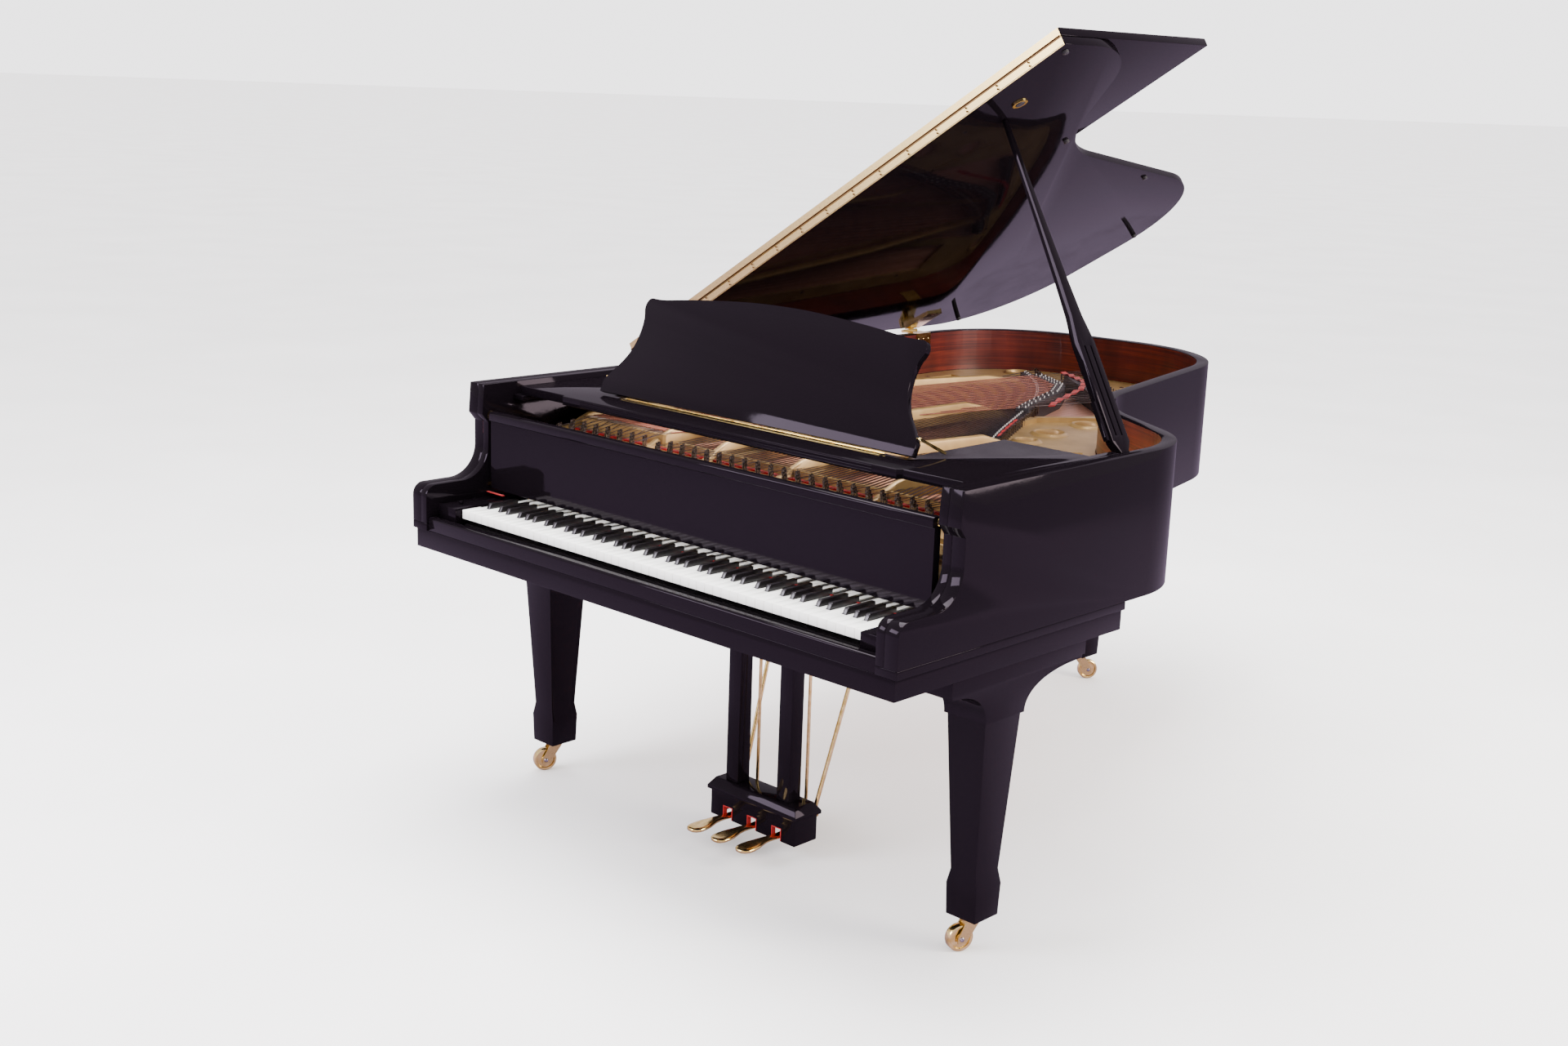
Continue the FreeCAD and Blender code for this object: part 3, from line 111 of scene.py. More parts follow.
def add_node(material, kind, settings=(), **inputs):
    """Add one node. Inputs go by name, or as _0, _1 by number where names repeat."""
    node = material.node_tree.nodes.new(kind)
    for name, value in dict(settings).items():
        setattr(node, name, value)
    for name, value in inputs.items():
        number = name[1:]
        key = int(number) if number.isdigit() else name.replace("_", " ")
        plug(node.inputs[key], value)
    return node


def new_material(name):
    """An empty node material with its main shader and object coordinates."""
    material = bpy.data.materials.new(name)
    material.use_nodes = True
    material.node_tree.nodes.clear()
    shader = add_node(material, "ShaderNodeBsdfPrincipled")
    add_node(material, "ShaderNodeOutputMaterial", Surface=shader.outputs[0])
    place = add_node(material, "ShaderNodeTexCoord").outputs["Object"]
    return material, shader, place


def set_shader(shader, **inputs):
    for name, value in inputs.items():
        plug(shader.inputs[name.replace("_", " ")], value)


def mixed_surface(material, share, first, second):
    """Show two shaders mixed: share 0 is the first, share 1 the second."""
    both = add_node(material, "ShaderNodeMixShader", _0=share, _1=first.outputs[0],
                    _2=second.outputs[0])
    output = next(n for n in material.node_tree.nodes if n.type == "OUTPUT_MATERIAL")
    plug(output.inputs["Surface"], both.outputs[0])


def noise(material, place, scale, detail, **more):
    """The grey value of a noise texture."""
    return add_node(material, "ShaderNodeTexNoise", Vector=place, Scale=scale, Detail=detail,
                    **more).outputs["Fac"]


def spread(material, grey, low, high, **more):
    """A grey value carried over to a range of its own."""
    return add_node(material, "ShaderNodeMapRange", Value=grey, To_Min=low, To_Max=high,
                    **more).outputs[0]


def ramp(material, factor, *stops):
    """A colour ramp from pairs of place and hex colour."""
    node = add_node(material, "ShaderNodeValToRGB", Fac=factor)
    bar = node.color_ramp
    while len(bar.elements) < len(stops):
        bar.elements.new(0.5)
    for element, (place, colour) in zip(bar.elements, stops):
        element.position = place
        element.color = linear(colour)
    return node.outputs["Color"]


def shaded(material, tint, shade, share):
    """A colour multiplied by a second one, in part."""
    return add_node(material, "ShaderNodeMix", {"data_type": "RGBA", "blend_type": "MULTIPLY"},
                    _0=share, _6=tint, _7=shade).outputs[2]


def stretched(material, place, x, y, z, turn=0.0):
    """Object coordinates scaled to whole patterns per metre, turned about Z."""
    return add_node(material, "ShaderNodeMapping", Vector=place, Rotation=(0, 0, turn),
                    Scale=(x, y, z)).outputs[0]


def bump(material, height, distance):
    return add_node(material, "ShaderNodeBump", Height=height, Distance=distance,
                    Strength=1.0).outputs[0]


# %% [markdown]
# ## Black polyester lacquer
# Piano black is a thick polyester coat over a black primer, sprayed, cured
# and buffed. It is nearly a mirror, so the eye reads it from what it
# reflects. Two things keep it from looking like plastic film: a very shallow
# orange peel some 12 mm across that bends long reflections, and faint haze
# from the buffing wheel that changes the roughness from place to place. In a
# pale room a full mirror would turn the case grey, so the clear coat is
# mixed with its matt black primer.

# %% Lacquer
PEEL_WIDTH_MM, PEEL_DEPTH = 12, 0.00004
COAT_SHARE = 0.235


def make_lacquer():
    material, shader, place = new_material("buffed_black_polyester")
    peel = noise(material, place, 1000 / PEEL_WIDTH_MM, 1.0)
    haze = noise(material, place, 9.0, 5.0, Roughness=0.6)
    rough = spread(material, haze, 0.035, 0.085, From_Min=0.3, From_Max=0.7)
    # The pale purple specular tint is a painted reflection: it colours every reflection of the
    # lacquer like a purple-grey studio.
    set_shader(shader, Base_Color=linear("#060406"), Roughness=rough, IOR=1.5,
               Specular_Tint=linear("#e6d2e6"), Normal=bump(material, peel, PEEL_DEPTH))
    primer = add_node(material, "ShaderNodeBsdfDiffuse", Color=linear("#0a070a"))
    mixed_surface(material, COAT_SHARE, primer, shader)
    return material


LACQUER = make_lacquer()
print(LACQUER.name)

# %% [markdown]
# ## Satin black
# The sharps, the damper heads and the stop under the lid are black but not
# mirrors. Sharps are moulded phenolic with a fine matt grain along them, and
# rubber is rougher, with a fine grit from its mould.

# %% Phenolic and rubber
def make_phenolic():
    material, shader, place = new_material("moulded_phenolic")
    grain = noise(material, stretched(material, place, 900, 60, 900), 1.0, 3.0)
    set_shader(shader, Base_Color=ramp(material, grain, (0.35, "#0c0a0b"), (0.7, "#171315")),
               Roughness=0.28, IOR=1.55, Normal=bump(material, grain, 0.00005))
    return material


def make_rubber():
    material, shader, place = new_material("moulded_black_rubber")
    grit = noise(material, place, 1400.0, 2.0)
    set_shader(shader, Base_Color=ramp(material, grit, (0.3, "#131112"), (0.8, "#231f20")),
               Roughness=0.62, Normal=bump(material, grit, 0.0001))
    return material


PHENOLIC = make_phenolic()
RUBBER = make_rubber()
print(PHENOLIC.name, RUBBER.name)

# %% [markdown]
# ## White acrylic key tops
# Key tops are cast acrylic, a warm white that lets a little light in. The
# surface is polished, with hairline scratches along the keys.

# %% Acrylic
def make_acrylic():
    material, shader, place = new_material("polished_white_acrylic")
    hair = noise(material, stretched(material, place, 2500, 90, 400), 1.0, 2.0)
    set_shader(shader, Base_Color=ramp(material, hair, (0.3, "#f4f2ec"), (0.7, "#fbfaf6")),
               Roughness=spread(material, hair, 0.10, 0.22), IOR=1.49, Subsurface_Weight=0.12,
               Subsurface_Scale=0.004, Subsurface_Radius=(1.0, 0.95, 0.85))
    return material


ACRYLIC = make_acrylic()
print(ACRYLIC.name)

# %% [markdown]
# ## Wood
# Three woods show. The inside of the case is mahogany veneer, red-brown with
# ribbon figure that runs along the rim. The soundboard is quarter-sawn
# spruce with straight growth lines a few millimetres apart. The action is
# maple, pale and close grained. Each is noise stretched along the grain,
# with a finer noise for the pores.

# %% Woods
PORE_WIDTH, PORE_LENGTH, PORE_DEPTH = 0.0007, 0.02, 0.00006


def make_wood(name, along, across, colours, rough, coat, turn=0.0):
    """along and across: the pattern's lengths in metres, with the grain and across it."""
    material, shader, place = new_material(name)
    grain = stretched(material, place, 1 / across, 1 / along, 1 / across, turn)
    lines = noise(material, grain, 1.0, 5.0, Roughness=0.55, Distortion=0.35)
    fine = stretched(material, place, 1 / PORE_WIDTH, 1 / PORE_LENGTH, 1 / PORE_WIDTH, turn)
    pores = noise(material, fine, 1.0, 3.0)
    stops = [(0.25 + 0.5 * i / (len(colours) - 1), c) for i, c in enumerate(colours)]
    dark = ramp(material, pores, (0.36, "#8a8a8a"), (0.52, "#ffffff"))
    set_shader(shader, Base_Color=shaded(material, ramp(material, lines, *stops), dark, 0.6),
               Roughness=rough, Coat_Weight=coat, Coat_Roughness=0.12,
               Normal=bump(material, pores, PORE_DEPTH))
    return material


def make_mahogany():
    """Veneer bent round the case has level grain everywhere: bands in Z, slow change in plan."""
    material, shader, place = new_material("rubbed_mahogany_veneer")
    bands = noise(material, stretched(material, place, 3.0, 3.0, 190.0), 1.0, 6.0,
                  Roughness=0.6, Distortion=0.4)
    ribbon = noise(material, stretched(material, place, 16.0, 16.0, 5.0), 1.0, 2.0)
    tint = ramp(material, bands, (0.28, "#34090a"), (0.45, "#561610"), (0.6, "#6f2415"),
                (0.8, "#8a3820"))
    sheen = ramp(material, ribbon, (0.3, "#b09a98"), (0.7, "#ffffff"))
    set_shader(shader, Base_Color=shaded(material, tint, sheen, 0.8), Roughness=0.34,
               Coat_Weight=0.35, Coat_Roughness=0.18, Normal=bump(material, bands, 0.00006))
    return material


MAHOGANY = make_mahogany()
SPRUCE = make_wood("varnished_quarter_sawn_spruce", 1.2, 0.005,
                   ("#b06a50", "#d08c72", "#e0a288", "#ecb8a0"), 0.3, 0.5, math.radians(60))
MAPLE = make_wood("planed_maple", 0.15, 0.006, ("#b58d58", "#cda873", "#dcbd8c"), 0.45, 0.0)
print(MAHOGANY.name, SPRUCE.name, MAPLE.name)

# %% [markdown]
# ## Metals
# The plate is sand-cast iron, primed and sprayed with bronze powder in
# lacquer: matt gold with a soft sandy skin. Strings are drawn steel, and the
# bass strings are wound with copper, which needs a ring every half
# millimetre or so. Pedals, rods and wheels are buffed brass, and the forks
# of the casters and the lid's long hinge are lacquered satin. Tuning pins
# and hitch pins are blued steel worn bright.

# %% Metals
WINDING_PITCH = 0.002


def make_gold_iron():
    material, shader, place = new_material("bronze_lacquered_cast_iron")
    sand = noise(material, place, 650.0, 3.0)
    cloud = noise(material, place, 14.0, 3.0)
    tint = ramp(material, cloud, (0.3, "#a98550"), (0.55, "#bb975f"), (0.8, "#c9a972"))
    set_shader(shader, Base_Color=tint, Metallic=0.35, Roughness=spread(material, sand, 0.3, 0.52),
               Coat_Weight=0.15, Coat_Roughness=0.25, Normal=bump(material, sand, 0.00018))
    return material


def make_metal(name, colour, worn, rough, scale, across=1.0, metallic=1.0):
    """A drawn or buffed metal. Its fine marks are longer along Y where across is above one."""
    material, shader, place = new_material(name)
    marks = noise(material, stretched(material, place, across, 1.0, across), scale, 3.0)
    set_shader(shader, Base_Color=ramp(material, marks, (0.3, worn), (0.65, colour)),
               Metallic=metallic, Roughness=spread(material, marks, rough * 0.6, rough * 1.5),
               Normal=bump(material, marks, 0.00002))
    return material


def make_winding():
    """Rings of copper along the string, drawn 2 mm apart because 0.4 mm wouldn't show."""
    material, shader, place = new_material("wound_copper_with_painted_groove_shade")
    rings = add_node(material, "ShaderNodeTexWave", {"bands_direction": "Y"}, Vector=place,
                     Scale=math.pi / 10 / WINDING_PITCH, Distortion=0.0).outputs["Fac"]
    # The ramp paints each ring darker in its groove and lighter on its crest: painted shade and
    # painted highlight, not a change in the copper.
    tint = ramp(material, rings, (0.0, "#93513f"), (0.6, "#cb8370"), (1.0, "#e3a592"))
    set_shader(shader, Base_Color=tint, Metallic=1.0, Roughness=0.3,
               Normal=bump(material, rings, 0.0003))
    return material


GOLD_IRON = make_gold_iron()
COPPER = make_winding()
STEEL = make_metal("drawn_music_wire", "#6f6563", "#4b4342", 0.3, 60.0, 12.0)
PIN_STEEL = make_metal("blued_pin_steel", "#c4bfc0", "#5a565c", 0.2, 300.0)
BRIGHT_PIN = make_metal("nickelled_bridge_pins", "#fbf6f0", "#d8d0c8", 0.35, 300.0, metallic=0.35)
BRASS = make_metal("buffed_brass", "#fbe69c", "#e0c26c", 0.16, 40.0, 2.0)
PALE_BRASS = make_metal("satin_lacquered_brass", "#dcc686", "#c9b070", 0.3, 500.0)
GRAPHITE = make_metal("graphited_bridge_top", "#3a3436", "#221d1f", 0.5, 200.0, metallic=0.0)
print("metals: 8")

# %% [markdown]
# ## Felt, and which solid gets which finish
# Felt is pressed wool: matt, with short loose fibres that catch light at the
# edges. Sheen gives that soft edge, and noise at two scales gives tufts.
# Then every solid gets the finish of its slot, with a few exceptions: the bridges are blackened
# with graphite, and the key frame gets the satin black of the sharps so that the slit under the
# key fronts reads dark.

# %% Felts and finishes
def make_felt(name, dark, light):
    material, shader, place = new_material(name)
    fibre = noise(material, place, 1800.0, 4.0, Roughness=0.7)
    tuft = noise(material, place, 160.0, 3.0)
    both = add_node(material, "ShaderNodeMath", {"operation": "MULTIPLY_ADD"}, _0=fibre, _1=0.5,
                    _2=tuft).outputs[0]
    set_shader(shader, Base_Color=ramp(material, both, (0.5, dark), (0.95, light)),
               Roughness=0.95, Sheen_Weight=0.12, Sheen_Roughness=0.4,
               Normal=bump(material, both, 0.0006))
    return material


RED_FELT = make_felt("red_wool_felt", "#7c0507", "#b80f12")
GREY_FELT = make_felt("grey_wool_felt", "#6e6a68", "#a8a29c")

FINISH = {
    "black_lacquer": LACQUER, "mahogany_veneer": MAHOGANY, "spruce_board": SPRUCE,
    "maple_wood": MAPLE, "white_acrylic": ACRYLIC, "black_phenolic": PHENOLIC,
    "gold_iron": GOLD_IRON, "steel_wire": STEEL, "copper_wire": COPPER,
    "polished_brass": BRASS, "pin_steel": PIN_STEEL, "red_felt": RED_FELT,
    "grey_felt": GREY_FELT, "black_rubber": RUBBER,
}
EXCEPTIONS = {
    "lid_edge_leaf": PALE_BRASS, "flap_edge_leaf": PALE_BRASS, "left_caster_fork": PALE_BRASS,
    "right_caster_fork": PALE_BRASS, "rear_caster_fork": PALE_BRASS, "bridges": GRAPHITE,
    # The maple key frame gets satin black so that the slit under the key fronts reads dark.
    "key_frame": PHENOLIC,
}


def slot_name_of(held):
    """The plain name of a CAD slot, without the number that a copy gets."""
    return held.material.name.split(".")[0]


for name, node in NODES.items():
    for held in node.material_slots:
        held.material = EXCEPTIONS.get(name) or FINISH[slot_name_of(held)]
print("finishes:", len(FINISH), "and", len(EXCEPTIONS), "exceptions")

# %% [markdown]
# ## Pieces from rings and sections
# Small hardware is turned or bent, so most of it is one profile spun about
# an axis, a section carried along a line, or a bevelled block. `turned`
# makes a closed lathe shape, `loft` joins sections, and `piece` turns the
# shapes into one object that rides on a body.

# %% Helpers for shapes
def put(name, data):
    """A new object in the scene, around a mesh, a camera or a light."""
    thing = bpy.data.objects.new(name, data)
    bpy.context.scene.collection.objects.link(thing)
    return thing


def mesh_from(name, shape):
    """A plain mesh from a bmesh, which is freed."""
    mesh = bpy.data.meshes.new(name)
    shape.to_mesh(mesh)
    shape.free()
    return mesh


def weld(shape, gap=0.01 * MM):
    """Merge corners that lie on each other."""
    bmesh.ops.remove_doubles(shape, verts=shape.verts, dist=gap)


def soften(mesh, degrees):
    """Shade smooth, and keep edges that turn more than an angle."""
    for face in mesh.polygons:
        face.use_smooth = True
    mesh.set_sharp_from_angle(angle=math.radians(degrees))


def turned(shape, profile, place, axis=(0, 0, 1), steps=24):
    """Spin (radius, height) pairs about an axis through place, closed at both ends."""
    turn = Vector((0, 0, 1)).rotation_difference(Vector(axis)).to_matrix().to_4x4()
    spin = Matrix.Translation(place) @ turn
    circle = [(math.cos(math.tau * i / steps), math.sin(math.tau * i / steps))
              for i in range(steps)]
    rings = []
    for radius, height in profile:
        spots = [(radius * c, radius * s, height) for c, s in circle]
        if radius == 0:
            spots = [(0, 0, height)]
        rings.append([shape.verts.new(spin @ Vector(spot)) for spot in spots])
    for low, high in zip(rings, rings[1:]):
        for i in range(steps):
            j = (i + 1) % steps
            corner = [low[i % len(low)], low[j % len(low)],
                      high[j % len(high)], high[i % len(high)]]
            face = list(dict.fromkeys(corner))
            if len(face) > 2:
                shape.faces.new(face)


def loft(shape, rings):
    """Join sections with the same number of corners, and close both ends."""
    count = len(rings[0])
    for a, b in zip(rings, rings[1:]):
        for k in range(count):
            shape.faces.new((a[k], a[(k + 1) % count], b[(k + 1) % count], b[k]))
    shape.faces.new(rings[0][::-1])
    shape.faces.new(rings[-1])


def heading(points, i):
    """The direction of a line of points at one of them."""
    return (points[min(i + 1, len(points) - 1)] - points[max(i - 1, 0)]).normalized()


def slab(shape, low, high, edge):
    """A box with bevelled edges, from two corners in metres."""
    centre, size = (Vector(low) + Vector(high)) / 2, Vector(high) - Vector(low)
    place = Matrix.Translation(centre) @ Matrix.Diagonal((*size, 1))
    made = bmesh.ops.create_cube(shape, size=1.0, matrix=place)
    rim = {e for v in made["verts"] for e in v.link_edges}
    bmesh.ops.bevel(shape, geom=list(rim), offset=edge, segments=3, profile=0.5, affect="EDGES")


def tube(shape, path, radius, steps=8):
    """A round bar along a list of points."""
    rings, last = [], None
    points = [Vector(p) for p in path]
    for i, point in enumerate(points):
        way = heading(points, i)
        side = (last - way * last.dot(way) if last else way.orthogonal()).normalized()
        last, other = side, way.cross(side)
        rings.append([shape.verts.new(point + (side * math.cos(math.tau * k / steps)
                                               + other * math.sin(math.tau * k / steps)) * radius)
                      for k in range(steps)])
    loft(shape, rings)


def piece(name, shape, material, body, slot_name, smooth=40, *nodes):
    """Turn the shape into an object with one finish, riding on a body."""
    bmesh.ops.recalc_face_normals(shape, faces=shape.faces)
    mesh = mesh_from(name, shape)
    thing = put(name, mesh)
    mesh.materials.append(material)
    if smooth:
        soften(mesh, smooth)
    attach(thing, body)
    if nodes:
        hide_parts(*nodes)
    print(name, len(mesh.polygons), "faces")


def screw(shape, place, axis, radius):
    """A low domed screw head, nearly 1 mm proud."""
    turned(shape, ((0, 0.9 * MM), (radius * 0.7, 0.8 * MM), (radius, 0.1 * MM),
                   (radius, -0.4 * MM), (0, -0.4 * MM)), place, axis, 16)


# %% [markdown]
# ## Eased edges
# No lacquered board has a knife edge: the sprayer sands every corner round,
# by about 1 mm on boards and less on key tops, and that rounding is what
# catches the light. Each board is copied from the frame, its loose triangles
# are merged, and a Bevel modifier rounds only the sharp corners.

# %% Boards with eased edges
def frozen(holder):
    """The mesh of an object with its modifiers applied. The object itself goes."""
    graph = bpy.context.evaluated_depsgraph_get()
    mesh = bpy.data.meshes.new_from_object(holder.evaluated_get(graph))
    bpy.data.objects.remove(holder)
    return mesh


def eased(node, radius, steps=2):
    """A copy of a CAD node with its sharp edges rounded, standing for the node."""
    source = NODES[node]
    shape = bmesh.new()
    shape.from_mesh(source.data)
    weld(shape, 0.02 * MM)
    bmesh.ops.dissolve_limit(shape, angle_limit=math.radians(0.6), verts=shape.verts,
                             edges=shape.edges)
    blank = put("blank", mesh_from("eased_" + node, shape))
    rounding = blank.modifiers.new("rounding", "BEVEL")
    rounding.width, rounding.segments = radius, steps
    rounding.limit_method, rounding.angle_limit = "ANGLE", math.radians(38)
    rounding.harden_normals = False
    ready = frozen(blank)
    thing = put("eased_" + node, ready)
    ready.materials.clear()
    ready.materials.append(source.material_slots[0].material)
    soften(ready, 32)
    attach(thing, body_of(source)[0])
    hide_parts(node)


BOARDS = ("outer_rim", "arm_cheeks", "keybed", "keyslip", "key_blocks", "desk_base", "music_desk",
          "main_lid", "front_flap", "fallboard_lip", "left_leg", "right_leg", "rear_leg",
          "lyre_frame", "lyre_box", "long_prop", "short_prop")
for board in BOARDS:
    eased(board, 1.0 * MM)
for keys in ("white_keys", "middle_c_key"):
    eased(keys, 0.45 * MM)
for sharps in ("black_keys", "c_sharp_key"):
    eased(sharps, 1.4 * MM, 3)
print("eased:", len(BOARDS) + 4)

# %% [markdown]
# ## Repeats with Geometry Nodes
# A piano has hundreds of the same pin, coil and screw. One tree puts a
# turned or wound shape on every point of a mesh, realises the copies and
# gives them their finish, and the result becomes a plain mesh.

# %% A tree for pins and coils
COIL_TURNS, COIL_STEPS, WIRE_SIDES, PIN_SIDES = 3.0, 9, 5, 10


def scatter_tree(name, winding, material):
    """winding: a coil of wire, otherwise a round pin. Radius, Height and Wire are in metres."""
    tree = bpy.data.node_groups.new(name, "GeometryNodeTree")
    face = tree.interface
    face.new_socket("Points", in_out="INPUT", socket_type="NodeSocketGeometry")
    for label in ("Radius", "Height", "Wire"):
        face.new_socket(label, in_out="INPUT", socket_type="NodeSocketFloat")
    face.new_socket("Pieces", in_out="OUTPUT", socket_type="NodeSocketGeometry")
    add, join = tree.nodes.new, tree.links.new
    entry, leave = add("NodeGroupInput"), add("NodeGroupOutput")
    spots, copies = add("GeometryNodeMeshToPoints"), add("GeometryNodeInstanceOnPoints")
    real, smooth = add("GeometryNodeRealizeInstances"), add("GeometryNodeSetShadeSmooth")
    paint = add("GeometryNodeSetMaterial")
    paint.inputs["Material"].default_value = material
    if winding:
        coil, ring = add("GeometryNodeCurveSpiral"), add("GeometryNodeCurvePrimitiveCircle")
        skin = add("GeometryNodeCurveToMesh")
        coil.inputs["Resolution"].default_value = COIL_STEPS
        coil.inputs["Rotations"].default_value = COIL_TURNS
        ring.inputs["Resolution"].default_value = WIRE_SIDES
        join(entry.outputs["Radius"], coil.inputs["Start Radius"])
        join(entry.outputs["Radius"], coil.inputs["End Radius"])
        join(entry.outputs["Height"], coil.inputs["Height"])
        join(entry.outputs["Wire"], ring.inputs["Radius"])
        join(coil.outputs["Curve"], skin.inputs["Curve"])
        join(ring.outputs["Curve"], skin.inputs["Profile Curve"])
        skin.inputs["Fill Caps"].default_value = True
        shape = skin.outputs["Mesh"]
    else:
        pin = add("GeometryNodeMeshCylinder")
        pin.inputs["Vertices"].default_value = PIN_SIDES
        join(entry.outputs["Radius"], pin.inputs["Radius"])
        join(entry.outputs["Height"], pin.inputs["Depth"])
        shape = pin.outputs["Mesh"]
    join(entry.outputs["Points"], spots.inputs["Mesh"])
    join(spots.outputs["Points"], copies.inputs["Points"])
    join(shape, copies.inputs["Instance"])
    join(copies.outputs["Instances"], real.inputs["Geometry"])
    join(real.outputs["Geometry"], smooth.inputs["Geometry"])
    join(smooth.outputs["Geometry"], paint.inputs["Geometry"])
    join(paint.outputs["Geometry"], leave.inputs["Pieces"])
    return tree


def scatter(name, spots, tree, sizes, body):
    """Run the tree on the spots and keep the plain mesh, riding on a body."""
    cloud = bpy.data.meshes.new("spots")
    cloud.from_pydata([tuple(spot) for spot in spots], [], [])
    holder = put("spots", cloud)
    work = holder.modifiers.new("scatter", "NODES")
    work.node_group = tree
    for item in tree.interface.items_tree:
        if item.in_out == "INPUT" and item.name in sizes:
            work[item.identifier] = sizes[item.name]
    mesh = frozen(holder)
    mesh.set_sharp_from_angle(angle=math.radians(50))
    thing = put(name, mesh)
    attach(thing, body)
    print(name, len(spots), "pieces,", len(mesh.polygons), "faces")


# %% [markdown]
# ## Where the strings and pins are
# A node that holds many solids is one mesh, so its separate solids are found
# by walking from corner to corner. That gives the two ends of every string
# and the centre of every tuning pin.

# %% Strings and pins from the frame
STRING_END = 4 * MM


def middle(points):
    return sum(points, Vector()) / len(points)


def islands(node):
    """The separate solids of a node, each as a list of points."""
    shape = bmesh.new()
    shape.from_mesh(NODES[node].data)
    weld(shape)
    seen, found = set(), []
    for start in shape.verts:
        if start in seen:
            continue
        group, stack = [], [start]
        seen.add(start)
        while stack:
            vert = stack.pop()
            group.append(vert.co.copy())
            for edge in vert.link_edges:
                other = edge.other_vert(vert)
                if other not in seen:
                    seen.add(other)
                    stack.append(other)
        found.append(group)
    shape.free()
    return found


def string_lines(node):
    """Front and hitch end of every string, from its solid."""
    lines = []
    for points in islands(node):
        front, back = min(p.y for p in points), max(p.y for p in points)
        near = [p for p in points if p.y < front + STRING_END]
        far = [p for p in points if p.y > back - STRING_END]
        lines.append((middle(near), middle(far)))
    return sorted(lines, key=lambda line: -line[0].x)


PLAIN, WOUND = string_lines("plain_strings"), string_lines("bass_strings")
PINS = [(middle(points), max(p.z for p in points)) for points in islands("tuning_pins")]
print("strings:", len(PLAIN), "plain,", len(WOUND), "wound;", len(PINS), "pins")

# %% [markdown]
# ## Strings, pins and coils
# Each treble note has three strings side by side, tuned alike, and each
# string winds three times round its tuning pin and hooks over a hitch pin
# at the far end. The frame holds one string of each note, so the others,
# the coils, the lead-ins and the hitch pins are added here.

# %% Unisons, lead-ins, coils and hitch pins
UNISON, WIRE = 2.6 * MM, 0.55 * MM
COIL_RADIUS, COIL_HEIGHT, COIL_DROP = 4.0 * MM, 3.6 * MM, 10 * MM
PLATE_TOP, PIN_RISE = 0.868, 4 * MM

shape = bmesh.new()
for near, far in PLAIN:
    for side in (-UNISON, UNISON):
        step = Vector((side, 0, 0))
        tube(shape, (near + step, far + step), WIRE, 5)
piece("unison_strings", shape, STEEL, "root", "steel_wire", 0)

shape = bmesh.new()
bar_ends = [near for near, _far in PLAIN + WOUND]
for centre, top in PINS:
    goal = min(bar_ends, key=lambda end: abs(end.x - centre.x))
    side = 1.5 if centre.x > goal.x else -1.5
    start = Vector((centre.x + 4 * MM, centre.y, top - 7 * MM))
    tube(shape, (start, Vector((goal.x + side * MM, goal.y, goal.z))), WIRE, 5)
piece("string_lead_ins", shape, STEEL, "root", "steel_wire", 0)
coil_tree = scatter_tree("wire_coils", True, STEEL)
scatter("pin_coils", [(c.x, c.y, top - COIL_DROP) for c, top in PINS], coil_tree,
        {"Radius": COIL_RADIUS, "Height": COIL_HEIGHT, "Wire": WIRE}, "root")
hitch_tree = scatter_tree("hitch_pins", False, PIN_STEEL)


def hitch_pins(name, ends, sides, back, radius):
    """Pins behind the strings' ends, from the plate to a little above the string."""
    spots = [(end.x + side, end.y + back, (PLATE_TOP + end.z + PIN_RISE) / 2)
             for end in ends for side in sides]
    scatter(name, spots, hitch_tree,
            {"Radius": radius, "Height": ends[0].z + PIN_RISE - PLATE_TOP}, "root")


hitch_pins("plain_hitch_pins", [far for _near, far in PLAIN], (-UNISON, 0, UNISON), 2 * MM,
           1.1 * MM)
hitch_pins("bass_hitch_pins", [far for _near, far in WOUND], (0,), 3 * MM, 2.0 * MM)

# %% [markdown]
# ## Wound strings
# A bass string is a steel core wound with copper. The winding stops short
# of the bridge, and the bare core runs on over the bridge to its hitch pin.

# %% Wound strings
BRIDGE_LINE = ((60, 1083), (-83, 1416), (-160, 1636), (-225, 1748), (-325, 1818), (-460, 1880))
BARE_FRONT, BARE_BACK, TUCK = 24 * MM, 22 * MM, 0.2 * MM
COPPER_RADIUS, CORE_RADIUS = 1.6 * MM, 0.7 * MM


def on_bridge(near, far):
    """Where a wound string crosses the bass bridge."""
    for (ax, ay), (bx, by) in zip(BRIDGE_LINE, BRIDGE_LINE[1:]):
        a, b = Vector((ax * MM, ay * MM)), Vector((bx * MM, by * MM))
        run, edge, gap = (far - near).xy, b - a, a - near.xy
        across = run.x * edge.y - run.y * edge.x
        along = (gap.x * edge.y - gap.y * edge.x) / across
        share = (gap.x * run.y - gap.y * run.x) / across
        if 0 <= share <= 1:
            return near.lerp(far, along)
    return near.lerp(far, 0.9)


CROSSINGS = [on_bridge(near, far) for near, far in WOUND]
shape, cores = bmesh.new(), bmesh.new()
for (near, far), stop in zip(WOUND, CROSSINGS):
    way = (far - near).normalized()
    tube(shape, (near + way * BARE_FRONT, stop - way * BARE_BACK), COPPER_RADIUS, 8)
    tube(cores, (near, near + way * (BARE_FRONT + TUCK)), CORE_RADIUS, 6)
    tube(cores, (stop - way * (BARE_BACK + TUCK), far), CORE_RADIUS, 6)
piece("copper_windings", shape, COPPER, "root", "copper_wire", 60, "bass_strings")
piece("bass_string_cores", cores, STEEL, "root", "steel_wire", 60)

# %% [markdown]
# ## Bridge pins
# On each bridge every string bends round two steel pins. They show as a
# bright dotted line along the curved, graphited bridge.

# %% Bridge pins and bass bridge
BRIDGE_BACK = 60 * MM
CAP_FOOT, CAP_HALF, CAP_DROP = 0.8535, 17 * MM, 1.9 * MM

